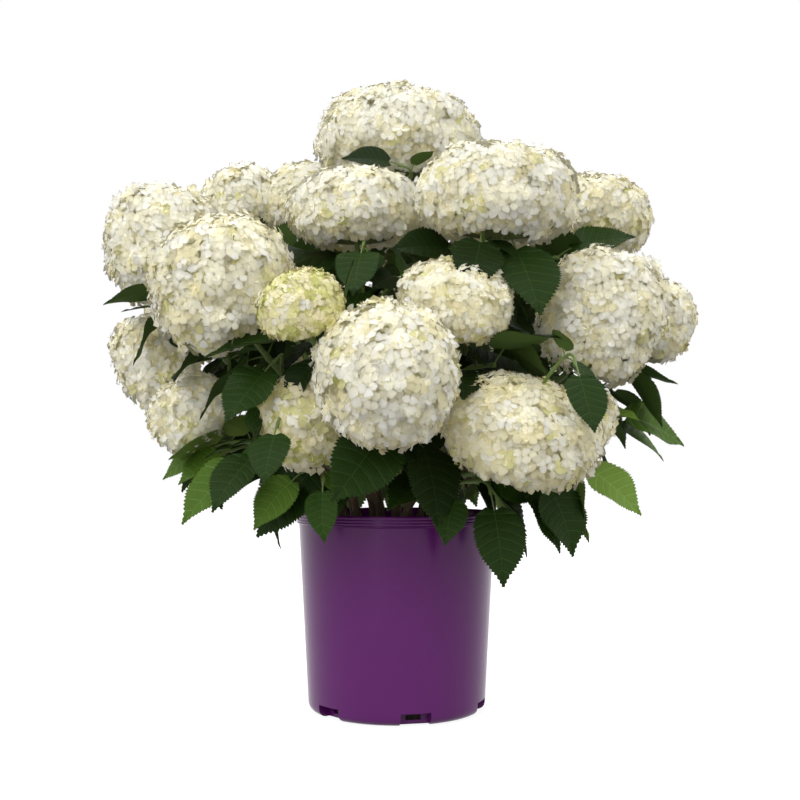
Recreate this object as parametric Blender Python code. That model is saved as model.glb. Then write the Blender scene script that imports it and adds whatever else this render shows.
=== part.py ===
"""A smooth hydrangea in full flower, in the nursery pot that it was grown in.

Lengths are metres, +Z is up, and the origin is the middle of the pot's flat underside. -Y is the show side.
The pot holds a filling of potting mix. Canes rise from it, each a tapering limb, and every cane carries one
mass: a stem that grows on from the cane, its side twigs, leaves in crossed pairs, and the flower heads at the
tips.
"""

import math
import random
from collections import namedtuple

import bmesh
import bpy
import numpy as np
from mathutils import Matrix, Vector
from mathutils.bvhtree import BVHTree

MM = 0.001
UP = Vector((0, 0, 1))
GAP = 0.3 * MM  # between solids that bear on each other

# The pot: a thin tapering tub with a proud rim band and drain pockets round its foot.
POT_HEIGHT = 240 * MM
RIM_RADIUS = 124 * MM
RIM_BAND = 14 * MM
RIM_PROUD = 1.5 * MM
WALL_TOP_RADIUS = RIM_RADIUS - RIM_PROUD
WALL_FOOT_RADIUS = 108.5 * MM
UNDERSIDE_RADIUS = 100 * MM
FOOT_CORNER = 9 * MM
POT_WALL = 2.5 * MM
POT_SIDES = 48
POCKET_COUNT = 6
POCKET_FIRST = math.radians(-78)  # azimuth of the first pocket, a little right of the show side
POCKET_WIDTH = 36 * MM
POCKET_HEIGHT = 15 * MM
POCKET_DEPTH = 17 * MM
DRAIN_WIDTH = 18 * MM
DRAIN_HEIGHT = 6 * MM

# The potting mix.
MIX_BELOW_RIM = 20 * MM
MIX_FLAT_RADIUS = 88 * MM
MIX_EDGE_DIP = 4 * MM
MIX_TOP = POT_HEIGHT - MIX_BELOW_RIM

# Canes and twigs.
CANE_FOOT_RADIUS = 4.6 * MM
CANE_FLARE = 1.3  # how much wider a cane is where it leaves the mix
CANE_TIP_RADIUS = 3.8 * MM
STEM_TIP_RADIUS = 3.2 * MM
TWIG_RADIUS = 3.1 * MM
TWIG_TIP_RADIUS = 2.9 * MM
CANE_SIDES = 5
CANE_RINGS = 6
STEM_RINGS = 6
TWIG_RINGS = 4
DOT_SPACING = 5 * MM  # at which two limbs are measured against each other
STEM_SIDES = 3
LEAFY_SHARE = 0.52  # of the way from the mix to the head, counted back from the head
LIMB_CLEAR = 11.5 * MM  # between the middles of two limbs, and from a limb to another mass's head
FOOT_NEAREST = 14 * MM  # from the shrub's axis to a cane's foot
FOOT_SPREAD = 0.19  # and how much further out that is, for each metre that the head is
FOOT_FROM_EDGE = 12 * MM  # of the mix's flat top
STEM_RISE, STEM_BULGE = 0.42, 0.06  # the pull up and out on a stem at its foot, as shares of its span
LEAFY_RISE = 0.55  # the pull up on a stem that carries no head
HEAD_PULL, TWIG_PULL = 0.25, 0.3  # how long a stem and a twig run straight at their ends, in spans
HEAD_ENTRY = 0.3  # how far below a head's widest ring its stem ends, as a share of its drop
# Ways to lay a stem, as (degrees its foot is swung, how much further out it stands), and shares of the leafy
# stem where a side twig may leave it. The first that is clear is taken.
STEM_WAYS = [
    (swing, spread)
    for spread in (1, 1.3, 0.75, 1.6, 0.5)
    for swing in (0, 8, -8, 16, -16, 26, -26, 38, -38, 52, -52)
]
TWIG_WAYS = (0.35, 0.27, 0.43, 0.2, 0.5, 0.57, 0.64, 0.72)

# Leaves.
LEAF_LENGTH = 96 * MM  # of the blade
LEAF_WIDTH = 0.64  # of its length
LEAF_WIDEST = 0.34  # of the way along it
LEAF_FOLD, LEAF_TIP_FALL = 0.05, 0.07  # how far its sides rise and its tip falls, as shares of its length
LEAF_THICKNESS = 2.0 * MM
PETIOLE_SHARE = 0.28  # of the blade's length
PETIOLE_WIDTH = 2.4 * MM
LEAF_SINK = 0.4 * MM  # how far a leaf's root lies past the middle of its stem
TIP_SINK = 3 * MM  # and how far below its tip, where it ends a shoot
TIP_PAIR = 2 * MM  # from a shoot's tip to its first pair
LEAF_OUTWARDS = 0.6  # how much a leaf faces outwards, where it faces up by 1
SHOW_SIDE = Vector((0, -0.8, 0))  # and how much the one leaf at a shoot's end faces to the show side
PAIR_SPACING = 44 * MM
HEAD_PAIRS = 4  # on the stem under a mass's first head
SHARPEST_BEND = 0.35  # the cosine between a stalk and its blade, below which no leaf grows
LOWER_LEAF = 0.06  # how much longer each lower pair is
FOOT_BARE = 4 * MM  # of a limb below its lowest pair
SHOOT_DROOP = 0.4  # how far a leaf hangs at the end of a leafy shoot, where a leaf under a head hangs 1
PAIR_JITTER = 14  # degrees by which a pair may be off square to the next
SLANT, TIP_SLANT = 0.35, 1.2  # how far a pair's stalks lean forward along their stem, and at its very tip
BELOW_HEAD = (0.7, 26 * MM)  # from a stem's end to its first pair: this share of the drop, and this length
SIDE_HEAD_LEAF = 0.85  # how long the leaves under a mass's smaller heads are
TWIG_TURN = 50  # degrees by which the pairs of each further twig are swung
LEAF_WAYS = [(1, 0), (1, 24), (1, -24), (0.86, 0), (0.86, 24), (0.86, -24), (0.74, 0)]  # size, degrees aside
HEAD_ROOM = 1.02  # how far out of its own mass's heads a leaf stays
POT_CLEAR = 3 * MM
LEAF_CLEAR = 1.0 * MM  # kept between a leaf and any other mass or limb

# Heads: the flower clusters. A head is a dome round its stem's tip, with a shallower underside.
HEAD_LUMP = 0.04  # how far its clusters of florets stand out, as a share of its radius
LUMP_SPACING = 26.5 * MM

# A head's widest ring and its lean outwards. A shoot's tip, its tilt above level, its leaf pairs, their
# length, and how far it is swung from straight outwards; a shoot without pairs ends in one leaf. A mass, with
# the turn of its first leaf pair round its stem. All in millimetres and degrees.
Head = namedtuple("Head", "x y z half_width rise drop lean")
Shoot = namedtuple("Shoot", "x y z tilt pairs leaf swing", defaults=[0])
Mass = namedtuple("Mass", "heads shoots turn")

MASSES = {
    "crown_top": Mass([Head(1, 45, 716, 108, 69, 52, 0)], [Shoot(2, -72, 658, 10, 0, 56, -92)], 20),
    "crown_right": Mass(
        [Head(114, -138, 597, 93, 66, 45, 4)],
        [
            Shoot(94, -182, 552, -64, 0, 74, -45),
            Shoot(126, -158, 554, -70, 0, 94, -20),
            Shoot(74, -112, 546, -18, 0, 74, -88),
        ],
        70,
    ),
    "shoulder_right": Mass([Head(269, 85, 627, 71, 56, 46, 12)], [Shoot(205, 10, 560, -20, 2, 84)], 10),
    "shoulder_left": Mass([Head(-292, 5, 573, 76, 79, 74, 10)], [Shoot(-272, -62, 492, -30, 2, 78)], 30),
    "shoulder_rear_left": Mass(
        [Head(-211, 128, 653, 60, 55, 44, 12), Head(-125, 110, 654, 54, 54, 44, 4)],
        [],
        14,
    ),
    "front_left": Mass(
        [Head(-190, -175, 494, 80, 79, 68, 30)],
        [Shoot(-130, -214, 408, -48, 0, 74, -30)],
        60,
    ),
    "front_upper": Mass(
        [Head(-49, -60, 601, 82, 54, 39, 2)],
        [Shoot(-38, -134, 548, -62, 0, 74), Shoot(12, -112, 520, -10, 1, 84)],
        50,
    ),
    "front_young": Mass([Head(-97, -272, 458, 45, 36, 23, 36)], [], 0),
    "front_middle": Mass([Head(-8, -275, 389, 74, 73, 62, 48)], [Shoot(-38, -190, 470, 20, 1, 74)], 40),
    "inner_right": Mass([Head(65, -194, 476, 63, 44, 41, 24)], [Shoot(108, -172, 408, -10, 2, 88)], 45),
    "flank_right": Mass([Head(240, -105, 476, 73, 74, 82, 20), Head(318, -25, 475, 48, 51, 48, 26)], [], 15),
    "low_right": Mass([Head(134, -205, 335, 87, 57, 52, 22)], [Shoot(182, -266, 400, -78, 0, 64, -40)], 80),
    "low_left": Mass(
        [Head(-97, -200, 343, 47, 54, 48, 24), Head(-32, -168, 312, 40, 32, 30, 20)],
        [Shoot(-122, -250, 338, -62, 0, 56, 27)],
        35,
    ),
    "flank_left": Mass(
        [Head(-300, -5, 424, 50, 64, 58, 36), Head(-245, -68, 360, 50, 43, 39, 34)],
        [Shoot(-214, -70, 434, -8, 1, 80)],
        34,
    ),
    "skirt_right": Mass(
        [Head(218, -110, 352, 34, 37, 32, 30)],
        [
            Shoot(258, -8, 396, -4, 2, 82),
            Shoot(262, -30, 362, -24, 0, 84),
            Shoot(266, 22, 350, 4, 1, 84),
            Shoot(208, -100, 304, -42, 0, 78, 12),
        ],
        75,
    ),
    "skirt_left": Mass(
        [],
        [
            Shoot(-200, -48, 324, -12, 1, 84),
            Shoot(-218, -54, 320, -28, 0, 60, -6),
            Shoot(-196, -78, 314, -28, 0, 58, -14),
            Shoot(-165, -117, 310, -38, 0, 90, -25),
            Shoot(-150, -168, 316, -42, 0, 74, -22),
        ],
        10,
    ),
    "skirt_front_left": Mass(
        [],
        [
            Shoot(-104, -162, 290, -42, 0, 66, -34),
            Shoot(-136, -118, 288, -50, 1, 72),
            Shoot(-78, -204, 280, -76, 0, 52, -10),
        ],
        40,
    ),
    "skirt_front_right": Mass(
        [],
        [
            Shoot(104, -160, 266, -74, 0, 82, -35),
            Shoot(62, -186, 270, -62, 0, 54, 20),
            Shoot(162, -148, 286, -66, 0, 76, -32),
            Shoot(138, -138, 284, -60, 0, 76, -25),
        ],
        5,
    ),
    "rear_top": Mass([Head(-10, 238, 650, 90, 62, 48, 10)], [Shoot(64, 270, 584, -10, 2, 84)], 65),
    "rear_right_top": Mass([Head(162, 208, 586, 80, 60, 48, 20)], [Shoot(205, 245, 505, -30, 1, 84)], 25),
    "rear_left_top": Mass([Head(-155, 248, 562, 78, 60, 48, 22)], [Shoot(-215, 230, 490, -30, 1, 84)], 55),
    "rear_left": Mass([Head(-278, 140, 502, 68, 62, 56, 28), Head(-286, 104, 370, 48, 44, 40, 30)], [], 26),
    "rear_right": Mass([Head(275, 160, 494, 72, 66, 58, 28), Head(242, 205, 362, 50, 46, 42, 40)], [], 85),
    "rear_middle": Mass([Head(5, 308, 502, 82, 68, 58, 34)], [Shoot(80, 285, 448, -20, 1, 84)], 30),
    "rear_low_left": Mass(
        [Head(-160, 288, 420, 68, 62, 54, 40), Head(-62, 325, 352, 48, 44, 38, 48)],
        [],
        60,
    ),
    "rear_low_right": Mass(
        [Head(165, 292, 412, 72, 62, 56, 40), Head(84, 328, 348, 52, 46, 40, 48)],
        [],
        15,
    ),
    "skirt_rear": Mass(
        [],
        [Shoot(-110, 195, 296, -40, 2, 84), Shoot(115, 195, 296, -40, 2, 84), Shoot(0, 205, 292, -30, 2, 84)],
        0,
    ),
}


def material(name, red, green, blue, roughness):
    made = bpy.data.materials.new(name)
    made.use_nodes = True
    shader = made.node_tree.nodes["Principled BSDF"]
    shader.inputs["Base Color"].default_value = (red, green, blue, 1)
    shader.inputs["Roughness"].default_value = roughness
    return made


def add_object(name, points, faces, finish, smooth=False):
    mesh = bpy.data.meshes.new(name)
    mesh.from_pydata([tuple(p) for p in points], [], [tuple(f) for f in faces])
    mesh.materials.append(finish)
    if smooth:
        mesh.shade_smooth()
        mesh.set_sharp_from_angle(angle=math.radians(35))
    made = bpy.data.objects.new(name, mesh)
    bpy.context.scene.collection.objects.link(made)
    return made


def modify(target, operand, operation):
    """Adds one Boolean with an object or a collection to the target, and applies it."""
    boolean = target.modifiers.new(operation.title(), "BOOLEAN")
    boolean.operation = operation
    boolean.solver = "EXACT"
    boolean.material_mode = "TRANSFER"
    if isinstance(operand, bpy.types.Collection):
        boolean.operand_type = "COLLECTION"
        boolean.collection = operand
    else:
        boolean.object = operand
    graph = bpy.context.evaluated_depsgraph_get()
    mesh = bpy.data.meshes.new_from_object(target.evaluated_get(graph), depsgraph=graph)
    target.modifiers.clear()
    old = target.data
    target.data = mesh
    bpy.data.meshes.remove(old)


# --------------------------------------------------------------------------------------- pot and potting mix


def turned(name, profile, finish):
    """A solid of revolution round Z, of (radius, z) from the axis at the bottom to the axis at the top."""
    rings = profile[1:-1]
    points = [(0, 0, profile[0][1])]
    for radius, z in rings:
        for k in range(POT_SIDES):
            angle = 2 * math.pi * k / POT_SIDES
            points.append((radius * math.cos(angle), radius * math.sin(angle), z))
    points.append((0, 0, profile[-1][1]))
    top = len(points) - 1
    faces = []
    for k in range(POT_SIDES):
        after = (k + 1) % POT_SIDES
        faces.append((0, 1 + after, 1 + k))
        for ring in range(len(rings) - 1):
            low, high = 1 + ring * POT_SIDES, 1 + (ring + 1) * POT_SIDES
            faces.append((low + k, low + after, high + after, high + k))
        last = 1 + (len(rings) - 1) * POT_SIDES
        faces.append((last + k, last + after, top))
    return add_object(name, points, faces, finish, smooth=True)


def block_at(azimuth, inner, outer, width, low, high, finish):
    """A box across the radius at an azimuth, from the inner to the outer distance from the axis."""
    turn = Matrix.Rotation(azimuth, 3, "Z")
    corners = [
        turn @ Vector((x, y, z))
        for x in (inner, outer)
        for y in (-width / 2, width / 2)
        for z in (low, high)
    ]
    faces = [(0, 1, 3, 2), (4, 6, 7, 5), (0, 4, 5, 1), (2, 3, 7, 6), (0, 2, 6, 4), (1, 5, 7, 3)]
    return add_object("helper", corners, faces, finish)


def cut(target, cutters):
    for cutter in cutters:
        modify(target, cutter, "DIFFERENCE")
        bpy.data.objects.remove(cutter)


def wall_radius(z):
    """The wall's outer radius at a height, on the straight taper from the foot's corner to the rim band."""
    share = (z - FOOT_CORNER) / (POT_HEIGHT - RIM_BAND - FOOT_CORNER)
    return WALL_FOOT_RADIUS + share * (WALL_TOP_RADIUS - RIM_PROUD - WALL_FOOT_RADIUS)


def cavity_profile(shrink, top):
    """The inside of the pot, drawn in by shrink on the floor and wall, up to a height."""
    floor = POT_WALL + shrink
    inner = POT_WALL + shrink
    return [
        (0, floor),
        (UNDERSIDE_RADIUS - inner, floor),
        (WALL_FOOT_RADIUS - inner - 1 * MM, FOOT_CORNER),
        (wall_radius(top) - inner, top),
    ]


def pocket_azimuths():
    return [POCKET_FIRST + k * 2 * math.pi / POCKET_COUNT for k in range(POCKET_COUNT)]


def pocket_housings(spare, finish):
    """The walls round each drain pocket, as seen from inside the pot, fatter by spare."""
    back = WALL_FOOT_RADIUS - POCKET_DEPTH - POT_WALL - spare
    width = POCKET_WIDTH + 2 * (POT_WALL + spare)
    roof = POCKET_HEIGHT + POT_WALL + spare
    return [
        block_at(azimuth, back, RIM_RADIUS, width, -FOOT_CORNER, roof, finish)
        for azimuth in pocket_azimuths()
    ]


def make_pot(finish):
    lip = 1.5 * MM
    pot = turned(
        "pot",
        [
            (0, 0),
            (UNDERSIDE_RADIUS, 0),
            (WALL_FOOT_RADIUS - 2 * MM, 3 * MM),
            (WALL_FOOT_RADIUS, FOOT_CORNER),
            (wall_radius(POT_HEIGHT - RIM_BAND), POT_HEIGHT - RIM_BAND),
            (RIM_RADIUS, POT_HEIGHT - RIM_BAND + lip),
            (RIM_RADIUS, POT_HEIGHT - lip),
            (RIM_RADIUS - lip, POT_HEIGHT),
            (0, POT_HEIGHT),
        ],
        finish,
    )
    over_top = POT_HEIGHT + 10 * MM
    cavity = turned("cavity", [*cavity_profile(0, over_top), (0, over_top)], finish)
    cut(cavity, pocket_housings(0, finish))
    cut(pot, [cavity])
    back = WALL_FOOT_RADIUS - POCKET_DEPTH
    pockets = [
        block_at(azimuth, back, RIM_RADIUS, POCKET_WIDTH, -FOOT_CORNER, POCKET_HEIGHT, finish)
        for azimuth in pocket_azimuths()
    ]
    cut(pot, pockets)
    drain_low = (POCKET_HEIGHT - DRAIN_HEIGHT) / 2
    drains = [
        block_at(
            azimuth,
            back - 2 * POT_WALL,
            back + POCKET_DEPTH / 2,
            DRAIN_WIDTH,
            drain_low,
            drain_low + DRAIN_HEIGHT,
            finish,
        )
        for azimuth in pocket_azimuths()
    ]
    cut(pot, drains)
    return pot


def make_potting_mix(finish):
    edge = MIX_TOP - MIX_EDGE_DIP
    profile = [*cavity_profile(GAP, edge), (MIX_FLAT_RADIUS, MIX_TOP), (0, MIX_TOP)]
    mix = turned("potting_mix", profile, finish)
    cut(mix, pocket_housings(GAP, finish))
    return mix


# ----------------------------------------------------------------------------------------------------- limbs


def bezier(start, first, second, end, count):
    """count + 1 points on a cubic curve."""
    points = []
    for k in range(count + 1):
        t = k / count
        s = 1 - t
        points.append(s**3 * start + 3 * s * s * t * first + 3 * s * t * t * second + t**3 * end)
    return points


def lengths_along(path):
    """The distance walked along a path at each of its points."""
    walked = [0.0]
    for a, b in zip(path, path[1:]):
        walked.append(walked[-1] + (b - a).length)
    return walked


def at_distance(path, walked, distance):
    """(point, direction) on a path this far along it."""
    distance = min(max(distance, 0.0), walked[-1])
    k = next(i for i in range(1, len(path)) if walked[i] >= distance - 1e-9)
    share = (distance - walked[k - 1]) / (walked[k] - walked[k - 1])
    ahead, behind = min(k + 1, len(path) - 1), max(k - 2, 0)
    return path[k - 1].lerp(path[k], share), (path[ahead] - path[behind]).normalized()


def square_to(direction, towards):
    """The unit vector nearest to towards that is square to direction."""
    across = towards - towards.project(direction)
    if across.length < 1e-4:
        across = direction.orthogonal()
    return across.normalized()


def stations_on(path, start, end, count):
    """(point, direction) at count + 1 even steps along a path, from one distance to another."""
    walked = lengths_along(path)
    return [at_distance(path, walked, start + (end - start) * k / count) for k in range(count + 1)]


def tube(stations, radii, sides):
    """(points, faces) of a closed tube through stations, each a (point, direction), with a radius at each."""
    points, faces = [], []
    across = square_to(stations[0][1], Vector((0.31, 0.95, 0.05)))
    for (centre, direction), radius in zip(stations, radii):
        across = square_to(direction, across)
        up = direction.cross(across)
        for k in range(sides):
            angle = 2 * math.pi * k / sides
            points.append(centre + radius * (math.cos(angle) * across + math.sin(angle) * up))
    for ring in range(len(stations) - 1):
        low = ring * sides
        for k in range(sides):
            after = (k + 1) % sides
            faces.append((low + k, low + after, low + sides + after, low + sides + k))
    faces.append(tuple(reversed(range(sides))))
    faces.append(tuple(range(len(points) - sides, len(points))))
    return points, faces


def outwards(x, y):
    """The level unit vector from the shrub's axis towards (x, y)."""
    away = Vector((x, y, 0))
    return away.normalized() if away.length > 20 * MM else Vector((0, -1, 0))


def head_axis(head):
    lean = math.radians(head.lean)
    return math.cos(lean) * UP + math.sin(lean) * outwards(head.x * MM, head.y * MM)


def head_centre(head):
    return Vector((head.x, head.y, head.z)) * MM


def targets(mass):
    """(end, direction at the end) of every limb of a mass: into each head, and out to each shoot's tip."""
    ends = []
    for head in mass.heads:
        axis = head_axis(head)
        ends.append((head_centre(head) - HEAD_ENTRY * head.drop * MM * axis, axis))
    for shoot in mass.shoots:
        tilt = math.radians(shoot.tilt)
        level = Matrix.Rotation(math.radians(shoot.swing), 3, "Z") @ outwards(shoot.x * MM, shoot.y * MM)
        direction = math.cos(tilt) * level + math.sin(tilt) * UP
        ends.append((Vector((shoot.x, shoot.y, shoot.z)) * MM, direction))
    return ends


def main_path(mass, swing, spread):
    """A curve from the mix up through the cane and on through the mass's stem to its head. Its foot stands on
    the head's own azimuth, further out for a head that is further out, turned by swing and moved out by
    spread."""
    end, direction = targets(mass)[0]
    azimuth = math.atan2(end.y, end.x) + math.radians(swing)
    radius = (FOOT_NEAREST + FOOT_SPREAD * math.hypot(end.x, end.y)) * spread
    radius = min(radius, MIX_FLAT_RADIUS - FOOT_FROM_EDGE)
    foot = Vector((radius * math.cos(azimuth), radius * math.sin(azimuth), MIX_TOP + GAP))
    span = (end - foot).length
    rise = STEM_RISE * UP + STEM_BULGE * outwards(end.x, end.y) if mass.heads else LEAFY_RISE * UP
    return bezier(foot, foot + span * rise, end - HEAD_PULL * span * direction, end, 40)


def side_path(stem, share, end, direction):
    """A twig's curve from a share of the way along the leafy stem to its own tip."""
    walked = lengths_along(stem)
    start, heading = at_distance(stem, walked, (1 - LEAFY_SHARE * (1 - share)) * walked[-1])
    span = (end - start).length
    away = (heading + (end - start).normalized()).normalized()
    return bezier(start, start + TWIG_PULL * span * away, end - TWIG_PULL * span * direction, end, 16)


def dots(path):
    """A path's points as an array, a few millimetres from each other."""
    length = lengths_along(path)[-1]
    return np.array([point for point, _ in stations_on(path, 0, length, math.ceil(length / DOT_SPACING))])


def room(path, taken, heads):
    """How far a path stays from every path taken so far, and from the surfaces of other masses' heads."""
    own = dots(path)
    free = min((np.linalg.norm(own[:, None] - other[None], axis=2).min() for other in taken), default=1.0)
    for head in heads:
        near = min(head_measure(head, Vector(point)) for point in own)
        free = min(free, (near - 1) * min(head.half_width, head.rise, head.drop) * MM)
    return free


def clear_path(choices, taken, heads):
    """The first of some ways to lay a path that keeps clear of the rest, or the clearest."""
    best, best_room = None, -math.inf
    for path in choices:
        free = room(path, taken, heads)
        if free > LIMB_CLEAR:
            return path
        if free > best_room:
            best, best_room = path, free
    return best


def cane_part(path):
    """The part of a mass's main path that is its cane."""
    joint = (1 - LEAFY_SHARE) * lengths_along(path)[-1]
    return [point for point, _ in stations_on(path, 0, joint, CANE_RINGS)]


def lay_paths():
    """Each mass's stem from the mix to its tip and then its side twigs, every one swung until it is clear."""
    laid, taken = {name: [] for name in MASSES}, []
    for name, mass in sorted(MASSES.items(), key=lambda item: targets(item[1])[0][0].z):
        others = [head for other in MASSES if other != name for head in MASSES[other].heads]
        ways = (main_path(mass, swing, spread) for swing, spread in STEM_WAYS)
        laid[name].append(clear_path(ways, taken, others))
        taken.append(dots(laid[name][0]))
    for name, mass in MASSES.items():
        others = [head for other in MASSES if other != name for head in MASSES[other].heads]
        elsewhere = [dots(path) for other in MASSES if other != name for path in laid[other]]
        elsewhere.append(dots(cane_part(laid[name][0])))
        for end, direction in targets(mass)[1:]:
            ways = (side_path(laid[name][0], share, end, direction) for share in TWIG_WAYS)
            laid[name].append(clear_path(ways, elsewhere, others))
    return laid


# ---------------------------------------------------------------------------------------------------- leaves

Leaf = namedtuple("Leaf", "root out along face length")  # the stalk runs out, and the blade runs along


def leaf_solid(leaf, spare=0.0):
    """(points, faces) of a folded, pointed blade on a three-sided stalk, larger all round by spare."""
    across = leaf.along.cross(leaf.face)
    shoulder = leaf.root + PETIOLE_SHARE * leaf.length * leaf.out
    stalk = PETIOLE_WIDTH / 2 + spare
    half = LEAF_WIDTH * leaf.length / 2 + spare
    over = across.cross(leaf.out).normalized()

    def blade(side, along, height):
        return shoulder + side * across + along * leaf.length * leaf.along + height * leaf.face

    points = [
        leaf.root + stalk * over,
        leaf.root + stalk * across - 0.7 * stalk * over,
        leaf.root - stalk * across - 0.7 * stalk * over,
        blade(0, 0, LEAF_THICKNESS / 2 + spare),
        blade(stalk, 0, -LEAF_THICKNESS / 2 - spare),
        blade(-stalk, 0, -LEAF_THICKNESS / 2 - spare),
        blade(half, LEAF_WIDEST, LEAF_FOLD * leaf.length),
        blade(0, 1, -LEAF_TIP_FALL * leaf.length) + spare * leaf.along,
        blade(-half, LEAF_WIDEST, LEAF_FOLD * leaf.length),
    ]
    faces = [
        (0, 2, 1),
        (0, 3, 5), (0, 5, 2), (0, 1, 4), (0, 4, 3), (1, 2, 5), (1, 5, 4),
        (3, 4, 6), (3, 6, 7), (3, 7, 8), (3, 8, 5),
        (4, 7, 6), (4, 5, 7), (5, 8, 7),
    ]  # fmt: skip
    return points, faces


def aside(leaf, size, swing):
    """A leaf at another size, swung round its root, as it grows where something is in its way."""
    turn = Matrix.Rotation(math.radians(swing), 3, "Z")
    return Leaf(leaf.root, turn @ leaf.out, turn @ leaf.along, turn @ leaf.face, size * leaf.length)


def leaf_pair(point, heading, azimuth, forward, droop, length, draw):
    """Two leaves on the two sides of a stem. Their stalks slant forward along it, and the blades hang."""
    level_side = UP.cross(heading) + 1e-3 * heading.orthogonal()
    side = Matrix.Rotation(azimuth, 3, heading) @ square_to(heading, level_side)
    leaves = []
    for sign in (1, -1):
        size = length * draw.uniform(0.85, 1.1)
        out = (sign * side + forward * heading + draw.uniform(0.0, 0.2) * UP).normalized()
        level = outwards(point.x, point.y)
        along = (out + 0.25 * level - droop * draw.uniform(0.3, 1.1) * UP).normalized()
        face = square_to(along, UP + LEAF_OUTWARDS * level + draw.uniform(-0.9, 0.9) * UP.cross(level))
        leaves.append(Leaf(point - LEAF_SINK * out, out, along, face, size))
    return leaves


def last_leaf(point, heading, length):
    """The one leaf that goes straight on from a shoot's tip, and faces up, outwards and to the show side."""
    face = square_to(heading, UP + LEAF_OUTWARDS * outwards(point.x, point.y) + SHOW_SIDE)
    return Leaf(point - TIP_SINK * heading, heading, heading, face, length)


def leaves_on(path, first, pairs, turn, droop, length, draw):
    """Crossed pairs down a limb from near its tip, as far as it goes. A pair at the very tip slants forward
    the most."""
    walked = lengths_along(path)
    leaves = []
    for k in range(pairs):
        distance = walked[-1] - first - k * PAIR_SPACING
        point, heading = at_distance(path, walked, distance)
        azimuth = math.radians(turn + 90 * k + draw.uniform(-PAIR_JITTER, PAIR_JITTER))
        forward = SLANT if k or first > PAIR_SPACING / 2 else TIP_SLANT
        pair = leaf_pair(point, heading, azimuth, forward, droop, length * (1 + LOWER_LEAF * k), draw)
        if distance > FOOT_BARE:
            leaves += [leaf for leaf in pair if leaf.out.dot(leaf.along) > SHARPEST_BEND]
    return leaves


# ---------------------------------------------------------------------------------------------- flower heads


def head_frame(head):
    axis = head_axis(head)
    across = square_to(axis, Vector((1, 0, 0)))
    return Matrix((across, axis.cross(across), axis)).transposed()


def head_measure(head, point):
    """How far out a point is in a head: 1 on its surface."""
    local = head_frame(head).transposed() @ (point - head_centre(head)) / MM
    height = head.rise if local.z > 0 else head.drop
    return math.sqrt((local.x**2 + local.y**2) / head.half_width**2 + (local.z / height) ** 2)


def head_solid(head, draw):
    """(points, faces) of a head: points spread evenly over a sphere by the golden angle, stretched to its
    half width, rise and drop, and every cluster of florets pushed out or in a little."""
    area = 2 * math.pi * head.half_width * (head.half_width + (head.rise + head.drop) / 2)
    count = round(area / (LUMP_SPACING / MM) ** 2)
    golden = math.pi * (3 - math.sqrt(5))
    shape = bmesh.new()
    for k in range(count):
        z = 1 - (2 * k + 1) / count
        ring = math.sqrt(1 - z * z)
        shape.verts.new((ring * math.cos(golden * k), ring * math.sin(golden * k), z))
    bmesh.ops.convex_hull(shape, input=shape.verts)
    shape.verts.index_update()
    frame, centre = head_frame(head), head_centre(head)
    points = []
    for vertex in shape.verts:
        height = head.rise if vertex.co.z > 0 else head.drop
        lump = 1 + HEAD_LUMP * draw.uniform(-0.9, 1.1)
        local = Vector((vertex.co.x * head.half_width, vertex.co.y * head.half_width, vertex.co.z * height))
        points.append(centre + frame @ (lump * MM * local))
    faces = [[v.index for v in face.verts] for face in shape.faces]
    shape.free()
    return points, faces


# ---------------------------------------------------------------------------------------------------- masses


def grow(name, mass, paths):
    """Everything of one mass before any solid: its cane's stations, its limbs' stations and radii, the leaves
    that it wishes at its shoots' ends and in pairs, and its own stream of random numbers."""
    draw = random.Random(name)
    length = lengths_along(paths[0])[-1]
    joint = (1 - LEAFY_SHARE) * length
    cane = stations_on(paths[0], 0, joint, CANE_RINGS)
    limbs = [(stations_on(paths[0], joint + GAP, length, STEM_RINGS), CANE_TIP_RADIUS, STEM_TIP_RADIUS)]
    for path in paths[1:]:
        twig = stations_on(path, 0, lengths_along(path)[-1], TWIG_RINGS)
        limbs.append((twig, TWIG_RADIUS, TWIG_TIP_RADIUS))
    last, paired = [], []
    for k, ((stations, _, _), tip) in enumerate(zip(limbs, [*mass.heads, *mass.shoots])):
        path = [point for point, _ in stations]
        turn = mass.turn + TWIG_TURN * k
        if isinstance(tip, Shoot) and not tip.pairs:
            last.append(last_leaf(*stations[-1], tip.leaf * MM))
        elif isinstance(tip, Shoot):
            paired += leaves_on(path, TIP_PAIR, tip.pairs, turn, SHOOT_DROOP, tip.leaf * MM, draw)
        else:
            pairs, blade = (HEAD_PAIRS, LEAF_LENGTH) if k == 0 else (1, SIDE_HEAD_LEAF * LEAF_LENGTH)
            first = BELOW_HEAD[0] * tip.drop * MM + BELOW_HEAD[1]
            paired += leaves_on(path, first, pairs, turn, 1, blade, draw)
    return cane, limbs, last, paired, draw


def even_taper(start, end, count):
    return [start + (end - start) * k / count for k in range(count + 1)]


def limb_solid(stations, radius_start, radius_end):
    return tube(stations, even_taper(radius_start, radius_end, len(stations) - 1), STEM_SIDES)


def cane_solid(stations):
    """A cane flares where it leaves the mix, and is cut level there."""
    radii = even_taper(CANE_FOOT_RADIUS, CANE_TIP_RADIUS, CANE_RINGS)
    radii[0] *= CANE_FLARE
    return tube([(stations[0][0], UP), *stations[1:]], radii, CANE_SIDES)


def in_pot(point):
    """True where a leaf would touch the pot or the mix."""
    return point.z < POT_HEIGHT + POT_CLEAR and math.hypot(point.x, point.y) < RIM_RADIUS + POT_CLEAR


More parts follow.
